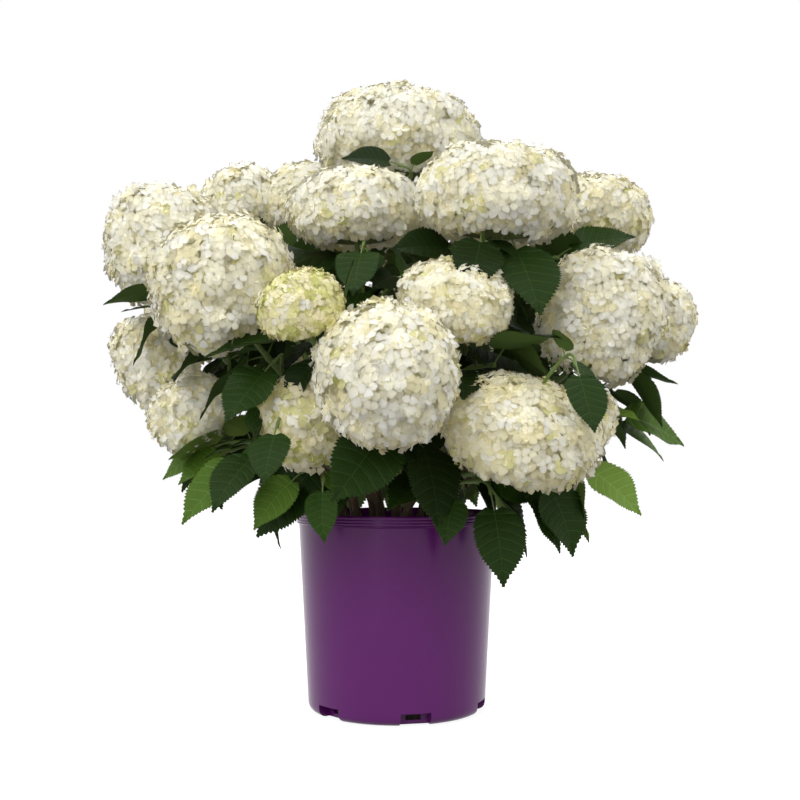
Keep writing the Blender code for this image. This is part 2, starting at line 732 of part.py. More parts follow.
def build_masses(finishes):
    paths = lay_paths()
    grown = {name: grow(name, mass, paths[name]) for name, mass in MASSES.items()}
    canes, fixed, head_solids = {}, {}, {}
    for name, (cane, limbs, _, _, draw) in grown.items():
        canes[name] = cane_solid(cane)
        head_solids[name] = [head_solid(head, draw) for head in MASSES[name].heads]
        fixed[name] = [limb_solid(*limb) for limb in limbs] + head_solids[name]
    cane_trees = [BVHTree.FromPolygons(points, faces) for points, faces in canes.values()]
    trees = {name: [BVHTree.FromPolygons(p, f) for p, f in solids] for name, solids in fixed.items()}
    kept = {name: [] for name in MASSES}
    wished = [(name, leaf) for name, (_, _, last, _, _) in grown.items() for leaf in last]
    wished += [(name, leaf) for name, (_, _, _, paired, _) in grown.items() for leaf in paired]
    for name, leaf in wished:
        blocked = cane_trees + [tree for other in MASSES if other != name for tree in trees[other]]
        for size, swing in LEAF_WAYS:
            tried = aside(leaf, size, swing)
            points, faces = leaf_solid(tried, LEAF_CLEAR)
            if any(in_pot(point) for point in points[3:]):
                continue
            if any(head_measure(head, p) < HEAD_ROOM for head in MASSES[name].heads for p in points[6:]):
                continue
            tree = BVHTree.FromPolygons(points, faces)
            if any(tree.overlap(other) for other in blocked):
                continue
            kept[name].append(leaf_solid(tried))
            trees[name].append(tree)
            break
    for name, (points, faces) in canes.items():
        add_object("cane_" + name, points, faces, finishes["cane"])
    for name in MASSES:
        join_mass(name, fixed[name], kept[name], finishes)


def join_mass(name, fixed, leaves, finishes):
    """One solid of a mass's stem with everything that grows on it, by one Boolean union on a collection."""
    stem = add_object("foliage_" + name, *fixed[0], finishes["stem"])
    grown_on = bpy.data.collections.new("grown_on_" + name)
    bpy.context.scene.collection.children.link(grown_on)
    heads = len(MASSES[name].heads)
    limbs_end = len(fixed) - heads
    for k, solid in enumerate(fixed[1:] + leaves, 1):
        kind = "stem" if k < limbs_end else "head" if k < len(fixed) else "leaf"
        made = add_object("piece", *solid, finishes[kind])
        bpy.context.scene.collection.objects.unlink(made)
        grown_on.objects.link(made)
    modify(stem, grown_on, "UNION")
    for made in list(grown_on.objects):
        bpy.data.objects.remove(made)
    bpy.data.collections.remove(grown_on)


def main():
    for old in list(bpy.data.objects):
        bpy.data.objects.remove(old)
    finishes = {
        "pot": material("pot_plastic", 0.12, 0.02, 0.14, 0.4),
        "mix": material("potting_mix", 0.02, 0.013, 0.009, 0.95),
        "cane": material("cane_bark", 0.28, 0.19, 0.11, 0.8),
        "stem": material("green_stem", 0.16, 0.24, 0.07, 0.6),
        "leaf": material("leaf_blade", 0.03, 0.10, 0.02, 0.5),
        "head": material("sepals", 0.78, 0.78, 0.66, 0.7),
    }
    make_pot(finishes["pot"])
    make_potting_mix(finishes["mix"])
    build_masses(finishes)


main()
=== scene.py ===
"""The looks of a smooth hydrangea in full flower, in the nursery pot that it was grown in.

Sizes are worked out in millimetres and put into meshes in metres. +Z is up, and -Y is the shrub's show side.
The pot comes first, then its filling, the canes, the green stems, the leaves and the flower heads, and last
the floor, light and camera.
"""

import math
import random
from collections import namedtuple

import bmesh
import bpy
import numpy as np
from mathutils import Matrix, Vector
from mathutils.bvhtree import BVHTree


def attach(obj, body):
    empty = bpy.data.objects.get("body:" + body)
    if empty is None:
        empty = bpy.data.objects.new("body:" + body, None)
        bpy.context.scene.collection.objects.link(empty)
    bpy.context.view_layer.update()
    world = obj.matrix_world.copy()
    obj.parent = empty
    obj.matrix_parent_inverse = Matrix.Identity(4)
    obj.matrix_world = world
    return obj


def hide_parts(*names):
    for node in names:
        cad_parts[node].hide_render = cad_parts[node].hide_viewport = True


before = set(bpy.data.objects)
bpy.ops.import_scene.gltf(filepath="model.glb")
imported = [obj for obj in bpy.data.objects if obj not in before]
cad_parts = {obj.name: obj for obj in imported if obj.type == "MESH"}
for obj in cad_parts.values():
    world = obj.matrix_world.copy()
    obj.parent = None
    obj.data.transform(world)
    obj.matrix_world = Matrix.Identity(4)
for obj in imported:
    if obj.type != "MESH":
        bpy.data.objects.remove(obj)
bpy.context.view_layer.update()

# ---------------------------------------------------------------------------------------------------- the pot
# A thin nursery pot of purple polyethylene, moulded in one piece. It tapers to its foot, where six drain
# pockets are pushed in, and its rim is a proud band with three turned grooves under a thin rolled lip.

MM = 0.001
POT_HEIGHT = 240.0
LIP_RADIUS = 124.0
BAND_LOW = 226.0
WALL_TOP_RADIUS = 121.0
WALL_FOOT_RADIUS = 108.5
FOOT_TURN = 9.0  # height at which the rounded foot becomes wall
SHELL = 2.5
POCKETS = 6
FIRST_POCKET = math.radians(-78)
POCKET_HALF_WIDTH = 18.0
POCKET_ROOF = 15.0
POCKET_BACK = 91.5  # from the pot's axis
DRAIN_HALF_WIDTH = 9.0
DRAIN_LOW, DRAIN_HIGH = 4.5, 10.5
GROOVES = (228.9, 232.3, 235.7)
GROOVE_DEPTH = 0.45
GROOVE_WIDTH = 0.7


def linear(code):
    """An sRGB hex colour as linear red, green, blue and 1: c/12.92 below 0.04045, and ((c+0.055)/1.055)^2.4
    above."""
    shares = [int(code[i : i + 2], 16) / 255 for i in (1, 3, 5)]
    return (*(c / 12.92 if c <= 0.04045 else ((c + 0.055) / 1.055) ** 2.4 for c in shares), 1.0)


def add(tree, kind, settings=None, **links):
    """A new node: settings go to its own values or its inputs, and each link joins an input to another's
    output."""
    made = tree.nodes.new(kind)
    for name, value in (settings or {}).items():
        if name in made.inputs:
            made.inputs[name].default_value = value
        else:
            setattr(made, name, value)
    for name, source in links.items():
        tree.links.new(source, made.inputs[name.replace("_", " ")])
    return made


def finish(name, colour, roughness, **values):
    """A new material of one Principled shader. Returns the material, its node tree, its shader and a place to
    start patterns from: the Object coordinates of the piece."""
    made = bpy.data.materials.new(name)
    made.use_nodes = True
    tree = made.node_tree
    shader = tree.nodes["Principled BSDF"]
    shader.inputs["Base Color"].default_value = linear(colour)
    shader.inputs["Roughness"].default_value = roughness
    for socket, value in values.items():
        shader.inputs[socket.replace("_", " ")].default_value = value
    return made, tree, shader, add(tree, "ShaderNodeTexCoord").outputs["Object"]


def repeats(size):
    """A pattern's scale from the size, in millimetres, of what it draws: how often that fits into a metre."""
    return 1 / (size * MM)


def piece(name, points, faces, finishes, which=0, smooth=True):
    """A mesh object from arrays: points in millimetres, the numbers of each face's corners, the materials,
    and which of these each face takes."""
    points = np.asarray(points).reshape(-1, 3) * MM
    starts = np.arange(0, faces.size, faces.shape[-1])
    mesh = bpy.data.meshes.new(name)
    mesh.vertices.add(len(points))
    mesh.vertices.foreach_set("co", points.astype(np.float32).ravel())
    mesh.loops.add(faces.size)
    mesh.loops.foreach_set("vertex_index", faces.astype(np.int32).ravel())
    mesh.polygons.add(len(starts))
    mesh.polygons.foreach_set("loop_start", np.asarray(starts, np.int32))
    for used in finishes:
        mesh.materials.append(used)
    mesh.polygons.foreach_set("material_index", np.broadcast_to(which, len(starts)).astype(np.int32))
    mesh.update(calc_edges=True)
    mesh.polygons.foreach_set("use_smooth", np.full(len(starts), smooth))
    mesh.update()
    made = bpy.data.objects.new(name, mesh)
    bpy.context.scene.collection.objects.link(made)
    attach(made, "root")
    return made


def lattice(rows, columns, closed=True):
    """Corners of the quads of a grid whose points run along each row, its rows' ends joined when closed."""
    row, column = np.mgrid[0 : rows - 1, 0 : columns if closed else columns - 1]
    after = (column + 1) % columns
    here, above = row * columns, (row + 1) * columns
    return np.stack([here + column, here + after, above + after, above + column], axis=-1)


WELD_REACH = 0.01 * MM


def weld(made, sharp):
    """Merges points that lie on each other, drops faces left without area, and keeps edges over an angle
    sharp."""
    shape = bmesh.new()
    shape.from_mesh(made.data)
    bmesh.ops.remove_doubles(shape, verts=shape.verts, dist=WELD_REACH)
    bmesh.ops.dissolve_degenerate(shape, edges=shape.edges, dist=WELD_REACH)
    shape.to_mesh(made.data)
    shape.free()
    made.data.shade_smooth()
    made.data.set_sharp_from_angle(angle=math.radians(sharp))


WALL_STEPS = np.linspace(0, 1, 10)[:-1]  # from a pocket's edge half way to the next pocket
POCKET_STEPS = np.array([-1, -0.8, -0.5, -0.25, 0, 0.25, 0.5, 0.8, 1])
DRAIN_STEP = 0.5  # the drain hole's edges lie at this step on both sides
DRAIN_COLUMNS = (len(WALL_STEPS) + 2, len(WALL_STEPS) + 6)
DRAIN_ROW = 6  # of a skin's faces, counted from the underside's middle
UNDER_SHARES = (0, 0.35, 0.7, 1)


def spun(x, y, angle):
    """x and y turned round Z by an angle: x cos - y sin, and x sin + y cos."""
    return x * np.cos(angle) - y * np.sin(angle), x * np.sin(angle) + y * np.cos(angle)


def skin(inset, floor, foot, heights, upper):
    """Points [row, column] of one skin of the tub, in millimetres. Rows run from the underside's middle out
    to the pockets' back, up round the foot, and on up the wall. Every pocket's columns go straight up its
    flat back instead, come out along its roof, and join the wall. foot and upper are (radius, height) rows;
    heights go up the back."""
    back, half = POCKET_BACK - inset, POCKET_HALF_WIDTH + inset
    at_drain = np.sign(POCKET_STEPS) * DRAIN_HALF_WIDTH
    across = np.where(np.abs(POCKET_STEPS) == DRAIN_STEP, at_drain, POCKET_STEPS * half)
    count = POCKETS * (2 * len(WALL_STEPS) + len(POCKET_STEPS))
    rows = []
    under = [(share * math.hypot(back, half), floor) for share in UNDER_SHARES]
    for radius, height in [*under, *foot, *upper]:
        edge = np.arcsin(half / max(radius, math.hypot(back, half)))
        wall = edge + (math.pi / POCKETS - edge) * WALL_STEPS
        pocket = np.arcsin(across / max(radius, math.hypot(back, half)))
        angle = np.concatenate([-wall[::-1], pocket, wall])
        level = np.full(angle.shape, height)
        rows.append(np.stack([radius * np.cos(angle), radius * np.sin(angle), level], axis=-1))
    rows = np.array(rows)
    inside = slice(len(WALL_STEPS), len(WALL_STEPS) + len(POCKET_STEPS))
    for row, share in enumerate(UNDER_SHARES):
        rows[row, inside, 0], rows[row, inside, 1] = share * back, share * across
    for row, height in enumerate(heights, len(UNDER_SHARES)):
        rows[row, inside, 0], rows[row, inside, 1], rows[row, inside, 2] = back, across, height
    turns = (FIRST_POCKET + np.arange(POCKETS) * 2 * math.pi / POCKETS)[None, :, None]
    x, y, z = (rows[:, None, :, axis] for axis in range(3))
    return np.stack([*spun(x, y, turns), z + 0 * turns], axis=-1).reshape(len(rows), count, 3)


def wall_radius(height):
    """The outer wall's straight taper."""
    share = (height - FOOT_TURN) / (BAND_LOW - FOOT_TURN)
    return WALL_FOOT_RADIUS + share * (WALL_TOP_RADIUS - WALL_FOOT_RADIUS)


def wall_rows(inset, heights):
    """(radius, height) rows up a skin's wall, set in from the outer one."""
    return [(wall_radius(height) - inset, height) for height in heights]


band = np.arange(227.6, 238.2, 0.425)
band_radius = LIP_RADIUS - GROOVE_DEPTH * sum(np.exp(-(((band - g) / GROOVE_WIDTH) ** 2)) for g in GROOVES)
outer_foot = [(98, 0), (101.8, 0.7), (105.3, 2.6), (107.6, 5.4), (WALL_FOOT_RADIUS, FOOT_TURN)]
under_band = [(WALL_TOP_RADIUS, BAND_LOW), (122.9, BAND_LOW + 0.6)]
lip_outside = [(LIP_RADIUS, 238.4), (123.6, 239.2), (123.0, 239.7), (122.2, POT_HEIGHT)]
lip_inside = [(121.3, 239.7), (120.7, 239.0)]
outer_wall = wall_rows(0, (POCKET_ROOF, 30, 60, 100, 140, 180, 210, 224))
outer = skin(
    0,
    0,
    outer_foot + wall_rows(0, [POCKET_ROOF]),
    [1.5, 3, DRAIN_LOW, DRAIN_HIGH, 13, POCKET_ROOF],
    outer_wall + under_band + [*zip(band_radius, band)] + lip_outside + lip_inside,
)
inner_foot = [(96.5, 2.5), (100.5, 3.1), (103.3, 4.7), (105.2, 7.0), (106, 9.8)]
inner_roof = POCKET_ROOF + SHELL
inner = skin(
    SHELL,
    SHELL,
    inner_foot + wall_rows(SHELL, [inner_roof]),
    [3.2, 3.9, DRAIN_LOW, DRAIN_HIGH, 14, inner_roof],
    wall_rows(SHELL, (inner_roof, 60, 120, 180, 215, 226)) + [(119.4, 236), (120.3, 238.2)],
)
columns = outer.shape[1]
per_pocket = columns // POCKETS
outer_quads = lattice(len(outer), columns)
inner_quads = lattice(len(inner), columns)[..., ::-1] + outer.shape[0] * columns
open_cells = np.zeros(columns, bool)
for pocket in range(POCKETS):
    first, last = (pocket * per_pocket + c for c in DRAIN_COLUMNS)
    open_cells[first:last] = True
keep_outer, keep_inner = (np.ones(q.shape[:2], bool) for q in (outer_quads, inner_quads))
keep_outer[DRAIN_ROW] &= ~open_cells
keep_inner[DRAIN_ROW] &= ~open_cells


def strip(near, far):
    """Quads between two chains of points, given by their numbers."""
    return np.stack([near[:-1], near[1:], far[1:], far[:-1]], axis=-1)


around = np.arange(columns + 1) % columns
joints = [strip((len(outer) - 1) * columns + around, (outer.shape[0] + len(inner) - 1) * columns + around)]
for pocket in range(POCKETS):
    first, last = (pocket * per_pocket + c for c in DRAIN_COLUMNS)
    low, high = (np.arange(first, last + 1) + row * columns for row in (DRAIN_ROW, DRAIN_ROW + 1))
    ring = np.concatenate([low, high[::-1], low[:1]])
    joints.append(strip(ring, ring + outer.shape[0] * columns))
pot_quads = np.concatenate([outer_quads[keep_outer], inner_quads[keep_inner], *joints])

# Polyethylene, moulded: a satin purple with a soft broad gloss. The mould leaves it almost smooth, with a
# faint unevenness a few millimetres wide, and its pigment is a little cloudy.
CLOUD, GRIT, RIPPLE = 71.4, 1.11, 6.25  # how wide the pigment's clouds and the skin's grit and waves are
plastic, tree, shader, place = finish("moulded_polyethylene_purple", "#62166a", 0.25, Specular_IOR_Level=0.27)
cloud = add(tree, "ShaderNodeTexNoise", {"Scale": repeats(CLOUD), "Detail": 3.0}, Vector=place)
tint = add(
    tree,
    "ShaderNodeMix",
    {"data_type": "RGBA", "A": linear("#5e1466"), "B": linear("#661a6e")},
    Factor=cloud.outputs["Fac"],
)
tree.links.new(tint.outputs["Result"], shader.inputs["Base Color"])
skin_noise = add(tree, "ShaderNodeTexNoise", {"Scale": repeats(GRIT), "Detail": 2.0}, Vector=place)
wear = add(tree, "ShaderNodeMapRange", {"To Min": 0.22, "To Max": 0.28}, Value=skin_noise.outputs["Fac"])
tree.links.new(wear.outputs["Result"], shader.inputs["Roughness"])
ripple = add(tree, "ShaderNodeTexNoise", {"Scale": repeats(RIPPLE), "Detail": 2.0}, Vector=place)
bump = add(tree, "ShaderNodeBump", {"Strength": 0.12, "Distance": 0.6 * MM}, Height=ripple.outputs["Fac"])
tree.links.new(bump.outputs["Normal"], shader.inputs["Normal"])

pot = piece("nursery_pot", np.concatenate([outer, inner]), pot_quads, [plastic])
weld(pot, 38)
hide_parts("pot")

# ------------------------------------------------------------------------------------------------ the filling
# Peat and composted bark fill the pot to a finger's width below its rim. The top is uneven and dark with
# water, and coarse bark chips lie scattered over it.

MIX_INSET = 2.8  # clear of the pot's inner skin
MIX_EDGE = 216.0
MIX_TOP = 220.0
MIX_REACH = 118.0  # where the filling's top turns down against the pot
MIX_RISE = 30.0  # over which its edge rises to its top
MIX_FLAT_RADIUS = MIX_REACH - MIX_RISE
MIX_LUMPS = (34.0, 15.0, 8.0)  # sizes of its humps and hollows
MIX_RELIEF = 0.055  # their height, as a share of their size
mix_draw = np.random.default_rng(11)


def rolling(x, y, sizes, draw):
    """An uneven ground: for each size the mean of six waves, about as long and as high as that, in random
    directions, and all of these added up."""
    height = np.zeros(np.shape(x))
    for size in sizes:
        for _ in range(6):
            angle, phase = draw.uniform(0, 2 * math.pi, 2)
            turn = 2 * math.pi / (size * draw.uniform(0.7, 1.4))
            height = height + size * np.sin(turn * (x * math.cos(angle) + y * math.sin(angle)) + phase)
    return height / 6


mix_roof = POCKET_ROOF + MIX_INSET
top_radii = np.concatenate([[MIX_REACH, MIX_REACH - 2], np.linspace(112, 0, 29)])


def mix_height(radius):
    """The filling's height: an even rise from its edge to its flat top."""
    return MIX_EDGE + (MIX_TOP - MIX_EDGE) * np.minimum(1, (MIX_REACH - radius) / MIX_RISE)


mix_foot = [(96, 2.8), (100, 3.5), (103, 5.0), (104.9, 7.2), (105.7, 10)]
mix = skin(
    MIX_INSET,
    MIX_INSET,
    mix_foot + wall_rows(MIX_INSET, [mix_roof]),
    [3.4, 4.2, 6, 10, 14, mix_roof],
    wall_rows(MIX_INSET, (mix_roof, 100, 200, MIX_EDGE - 2)) + [*zip(top_radii, mix_height(top_radii))],
)
top = slice(len(mix) - len(top_radii) + 1, len(mix))
unevenness = MIX_RELIEF * rolling(mix[top, :, 0], mix[top, :, 1], MIX_LUMPS, mix_draw)
mix[top, :, 2] += unevenness * np.clip((MIX_REACH - np.hypot(mix[top, :, 0], mix[top, :, 1])) / 8.0, 0, 1)

# Wet peat: nearly black brown and matt, with fibres and crumbs from 2 to 6 mm.
CRUMB = 3.85
peat, tree, shader, place = finish("wet_peat_and_bark", "#1d130d", 0.95)
crumb_sizes = {"Scale": repeats(CRUMB), "Detail": 6.0, "Roughness": 0.7}
crumbs = add(tree, "ShaderNodeTexNoise", crumb_sizes, Vector=place)
ramp = add(tree, "ShaderNodeMix", {"data_type": "RGBA", "A": linear("#0e0906"), "B": linear("#33231a")})
contrast = add(tree, "ShaderNodeMapRange", {"From Min": 0.38, "From Max": 0.66}, Value=crumbs.outputs["Fac"])
tree.links.new(contrast.outputs["Result"], ramp.inputs["Factor"])
tree.links.new(ramp.outputs["Result"], shader.inputs["Base Color"])
bump = add(tree, "ShaderNodeBump", {"Strength": 0.9, "Distance": 2.5 * MM}, Height=crumbs.outputs["Fac"])
tree.links.new(bump.outputs["Normal"], shader.inputs["Normal"])

filling = piece("peat_filling", mix, lattice(len(mix), columns), [peat])
weld(filling, 60)
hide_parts("potting_mix")

CHIPS = 420
CHIP_LEAST, CHIP_MOST = (2.0, 1.1, 0.4), (6.5, 3.0, 1.2)  # half a chip's length, width and thickness
CHIPS_REACH = 113.0
CHIP = np.array([(x, y, z) for x in (-1, 1) for y in (-1, 1) for z in (-1, 1)], float)
CHIP_FACES = np.array([(0, 1, 3, 2), (4, 6, 7, 5), (0, 4, 5, 1), (2, 3, 7, 6), (0, 2, 6, 4), (1, 5, 7, 3)])


def scattered_chips():
    """Chips as boxes of random length, width and thickness whose corners are pushed about, each turned round
    Z and tipped a little, laid at even odds over the disc."""
    size = mix_draw.uniform(CHIP_LEAST, CHIP_MOST, (CHIPS, 3))[:, None, :]
    shape = CHIP[None] * size * mix_draw.uniform(0.55, 1.0, (CHIPS, 8, 3))
    turn, tip = mix_draw.uniform(0, 2 * math.pi, (CHIPS, 1)), mix_draw.uniform(-0.35, 0.35, (CHIPS, 1))
    x, y = spun(shape[..., 0], shape[..., 1], turn)
    z = shape[..., 2] + tip * shape[..., 0]
    radius = CHIPS_REACH * np.sqrt(mix_draw.uniform(0, 1, (CHIPS, 1)))
    angle = mix_draw.uniform(0, 2 * math.pi, (CHIPS, 1))
    ground = mix_height(radius) + 0.8
    return np.stack([x + radius * np.cos(angle), y + radius * np.sin(angle), z + ground], axis=-1)


# Composted bark: red-brown flakes gone dark, with a fine woody grain in them.
WOOD_GRAIN = 2.0
bark_chip, tree, shader, place = finish("composted_bark_chip", "#33211a", 0.9)
grain = add(tree, "ShaderNodeTexNoise", {"Scale": repeats(WOOD_GRAIN), "Detail": 4.0}, Vector=place)
tint = add(
    tree,
    "ShaderNodeMix",
    {"data_type": "RGBA", "A": linear("#1a100b"), "B": linear("#4a3226")},
    Factor=grain.outputs["Fac"],
)
tree.links.new(tint.outputs["Result"], shader.inputs["Base Color"])
chip_faces = CHIP_FACES[None] + len(CHIP) * np.arange(CHIPS)[:, None, None]
chips = piece("bark_chips", scattered_chips(), chip_faces, [bark_chip], smooth=False)

# -------------------------------------------------------------------------------------------------- the canes
# Each cane is a woody shoot of last year, as thick as a pencil, that rises out of the filling and bows
# outwards under its flowers. Its thin bark is tan, splits lengthwise into papery strips, and has a scarred
# ring at every old node.

# A head's widest ring and its lean outwards. A shoot's tip, its tilt above level, its leaf pairs, their
# length, and how far it is swung from straight outwards; a shoot without pairs ends in one leaf. A mass, with
# the turn of its first leaf pair round its stem. All in millimetres and degrees.
Head = namedtuple("Head", "x y z half_width rise drop lean")
Shoot = namedtuple("Shoot", "x y z tilt pairs leaf swing", defaults=[0])
Mass = namedtuple("Mass", "heads shoots turn")

MASSES = {
    "crown_top": Mass([Head(1, 45, 716, 108, 69, 52, 0)], [Shoot(2, -72, 658, 10, 0, 56, -92)], 20),
    "crown_right": Mass(
        [Head(114, -138, 597, 93, 66, 45, 4)],
        [
            Shoot(94, -182, 552, -64, 0, 74, -45),
            Shoot(126, -158, 554, -70, 0, 94, -20),
            Shoot(74, -112, 546, -18, 0, 74, -88),
        ],
        70,
    ),
    "shoulder_right": Mass([Head(269, 85, 627, 71, 56, 46, 12)], [Shoot(205, 10, 560, -20, 2, 84)], 10),
    "shoulder_left": Mass([Head(-292, 5, 573, 76, 79, 74, 10)], [Shoot(-272, -62, 492, -30, 2, 78)], 30),
    "shoulder_rear_left": Mass(
        [Head(-211, 128, 653, 60, 55, 44, 12), Head(-125, 110, 654, 54, 54, 44, 4)],
        [],
        14,
    ),
    "front_left": Mass(
        [Head(-190, -175, 494, 80, 79, 68, 30)],
        [Shoot(-130, -214, 408, -48, 0, 74, -30)],
        60,
    ),
    "front_upper": Mass(
        [Head(-49, -60, 601, 82, 54, 39, 2)],
        [Shoot(-38, -134, 548, -62, 0, 74), Shoot(12, -112, 520, -10, 1, 84)],
        50,
    ),
    "front_young": Mass([Head(-97, -272, 458, 45, 36, 23, 36)], [], 0),
    "front_middle": Mass([Head(-8, -275, 389, 74, 73, 62, 48)], [Shoot(-38, -190, 470, 20, 1, 74)], 40),
    "inner_right": Mass([Head(65, -194, 476, 63, 44, 41, 24)], [Shoot(108, -172, 408, -10, 2, 88)], 45),
    "flank_right": Mass([Head(240, -105, 476, 73, 74, 82, 20), Head(318, -25, 475, 48, 51, 48, 26)], [], 15),
    "low_right": Mass([Head(134, -205, 335, 87, 57, 52, 22)], [Shoot(182, -266, 400, -78, 0, 64, -40)], 80),
    "low_left": Mass(
        [Head(-97, -200, 343, 47, 54, 48, 24), Head(-32, -168, 312, 40, 32, 30, 20)],
        [Shoot(-122, -250, 338, -62, 0, 56, 27)],
        35,
    ),
    "flank_left": Mass(
        [Head(-300, -5, 424, 50, 64, 58, 36), Head(-245, -68, 360, 50, 43, 39, 34)],
        [Shoot(-214, -70, 434, -8, 1, 80)],
        34,
    ),
    "skirt_right": Mass(
        [Head(218, -110, 352, 34, 37, 32, 30)],
        [
            Shoot(258, -8, 396, -4, 2, 82),
            Shoot(262, -30, 362, -24, 0, 84),
            Shoot(266, 22, 350, 4, 1, 84),
            Shoot(208, -100, 304, -42, 0, 78, 12),
        ],
        75,
    ),
    "skirt_left": Mass(
        [],
        [
            Shoot(-200, -48, 324, -12, 1, 84),
            Shoot(-218, -54, 320, -28, 0, 60, -6),
            Shoot(-196, -78, 314, -28, 0, 58, -14),
            Shoot(-165, -117, 310, -38, 0, 90, -25),
            Shoot(-150, -168, 316, -42, 0, 74, -22),
        ],
        10,
    ),
    "skirt_front_left": Mass(
        [],
        [
            Shoot(-104, -162, 290, -42, 0, 66, -34),
            Shoot(-136, -118, 288, -50, 1, 72),
            Shoot(-78, -204, 280, -76, 0, 52, -10),
        ],
        40,
    ),
    "skirt_front_right": Mass(
        [],
        [
            Shoot(104, -160, 266, -74, 0, 82, -35),
            Shoot(62, -186, 270, -62, 0, 54, 20),
            Shoot(162, -148, 286, -66, 0, 76, -32),
            Shoot(138, -138, 284, -60, 0, 76, -25),
        ],
        5,
    ),
    "rear_top": Mass([Head(-10, 238, 650, 90, 62, 48, 10)], [Shoot(64, 270, 584, -10, 2, 84)], 65),
    "rear_right_top": Mass([Head(162, 208, 586, 80, 60, 48, 20)], [Shoot(205, 245, 505, -30, 1, 84)], 25),
    "rear_left_top": Mass([Head(-155, 248, 562, 78, 60, 48, 22)], [Shoot(-215, 230, 490, -30, 1, 84)], 55),
    "rear_left": Mass([Head(-278, 140, 502, 68, 62, 56, 28), Head(-286, 104, 370, 48, 44, 40, 30)], [], 26),
    "rear_right": Mass([Head(275, 160, 494, 72, 66, 58, 28), Head(242, 205, 362, 50, 46, 42, 40)], [], 85),
    "rear_middle": Mass([Head(5, 308, 502, 82, 68, 58, 34)], [Shoot(80, 285, 448, -20, 1, 84)], 30),
    "rear_low_left": Mass(
        [Head(-160, 288, 420, 68, 62, 54, 40), Head(-62, 325, 352, 48, 44, 38, 48)],
        [],
        60,
    ),
    "rear_low_right": Mass(
        [Head(165, 292, 412, 72, 62, 56, 40), Head(84, 328, 348, 52, 46, 40, 48)],
        [],
        15,
    ),
    "skirt_rear": Mass(
        [],
        [Shoot(-110, 195, 296, -40, 2, 84), Shoot(115, 195, 296, -40, 2, 84), Shoot(0, 205, 292, -30, 2, 84)],
        0,
    ),
}

UP = np.array([0.0, 0.0, 1.0])
CANE_GAP = 0.3
CANE_FOOT_RADIUS, CANE_FLARE, CANE_TIP_RADIUS = 4.6, 1.3, 3.8
LEAFY_SHARE = 0.52  # of the way from the filling to the head, counted back from the head
LIMB_CLEAR = 11.5  # between the middles of two limbs, and from a limb to another mass's head
STEM_WAYS = [
    (swing, spread)
    for spread in (1, 1.3, 0.75, 1.6, 0.5)
    for swing in (0, 8, -8, 16, -16, 26, -26, 38, -38, 52, -52)
]
# Shares of the leafy stem where a side twig may leave it, in the order in which they are tried.
TWIG_WAYS = (0.35, 0.27, 0.43, 0.2, 0.5, 0.57, 0.64, 0.72)


def unit(vectors):
    """Vectors divided by their lengths."""
    return vectors / np.linalg.norm(vectors, axis=-1, keepdims=True)


def bezier(start, first, second, end, count):
    """Points on the cubic curve s^3 a + 3 s^2 t b + 3 s t^2 c + t^3 d, with s = 1 - t and t from 0 to 1."""
    t = np.linspace(0, 1, count + 1)[:, None]
    s = 1 - t
    return s**3 * start + 3 * s * s * t * first + 3 * s * t * t * second + t**3 * end


def lengths_along(path):
    """The distance walked along a path at each of its points."""
    return np.concatenate([[0.0], np.cumsum(np.linalg.norm(np.diff(path, axis=0), axis=1))])


def stations(path, distances):
    """(points, directions) on a path at distances along it, a direction being taken over three of its
    steps."""
    walked = lengths_along(path)
    distances = np.clip(distances, 0, walked[-1])
    k = np.clip(np.searchsorted(walked, distances - 1e-6), 1, len(path) - 1)
    share = ((distances - walked[k - 1]) / (walked[k] - walked[k - 1]))[..., None]
    points = path[k - 1] + share * (path[k] - path[k - 1])
    return points, unit(path[np.minimum(k + 1, len(path) - 1)] - path[np.maximum(k - 2, 0)])


def square_to(direction, towards):
    """The unit vector nearest to towards that is square to direction."""
    return unit(towards - (towards @ direction) * direction)


def outwards(x, y):
    """The level unit vector from the shrub's axis towards (x, y)."""
    away = np.array([x, y, 0.0])
    return unit(away) if math.hypot(x, y) > 20 else np.array([0.0, -1.0, 0.0])


def turned_by(vector, axis, angle):
    """A vector turned round an axis by an angle, where the two are square to each other."""
    return math.cos(angle) * vector + math.sin(angle) * np.cross(axis, vector)


def head_axis(head):
    """The unit vector up through a head, which leans outwards."""
    lean = math.radians(head.lean)
    return math.cos(lean) * UP + math.sin(lean) * outwards(head.x, head.y)


def head_frame(head):
    """Columns across, square to both, and along a head's axis."""
    axis = head_axis(head)
    across = square_to(axis, np.array([1.0, 0.0, 0.0]))
    return np.stack([across, np.cross(axis, across), axis], axis=1)


def head_measure(head, points):
    """How far out points are in a head, 1 on its surface: the root of (d / half_width)^2 + (z / height)^2,
    with d the distance from its axis."""
    local = (points - np.array(head[:3])) @ head_frame(head)
    height = np.where(local[..., 2] > 0, head.rise, head.drop)
    level = local[..., 0] ** 2 + local[..., 1] ** 2
    return np.sqrt(level / head.half_width**2 + (local[..., 2] / height) ** 2)


def targets(mass):
    """(end, direction at the end) of every limb of a mass: into each head, and out to each shoot's tip."""
    ends = [(np.array(h[:3], float) - 0.3 * h.drop * head_axis(h), head_axis(h)) for h in mass.heads]
    for shoot in mass.shoots:
        tilt = math.radians(shoot.tilt)
        level = turned_by(outwards(shoot.x, shoot.y), UP, math.radians(shoot.swing))
        ends.append((np.array(shoot[:3], float), math.cos(tilt) * level + math.sin(tilt) * UP))
    return ends


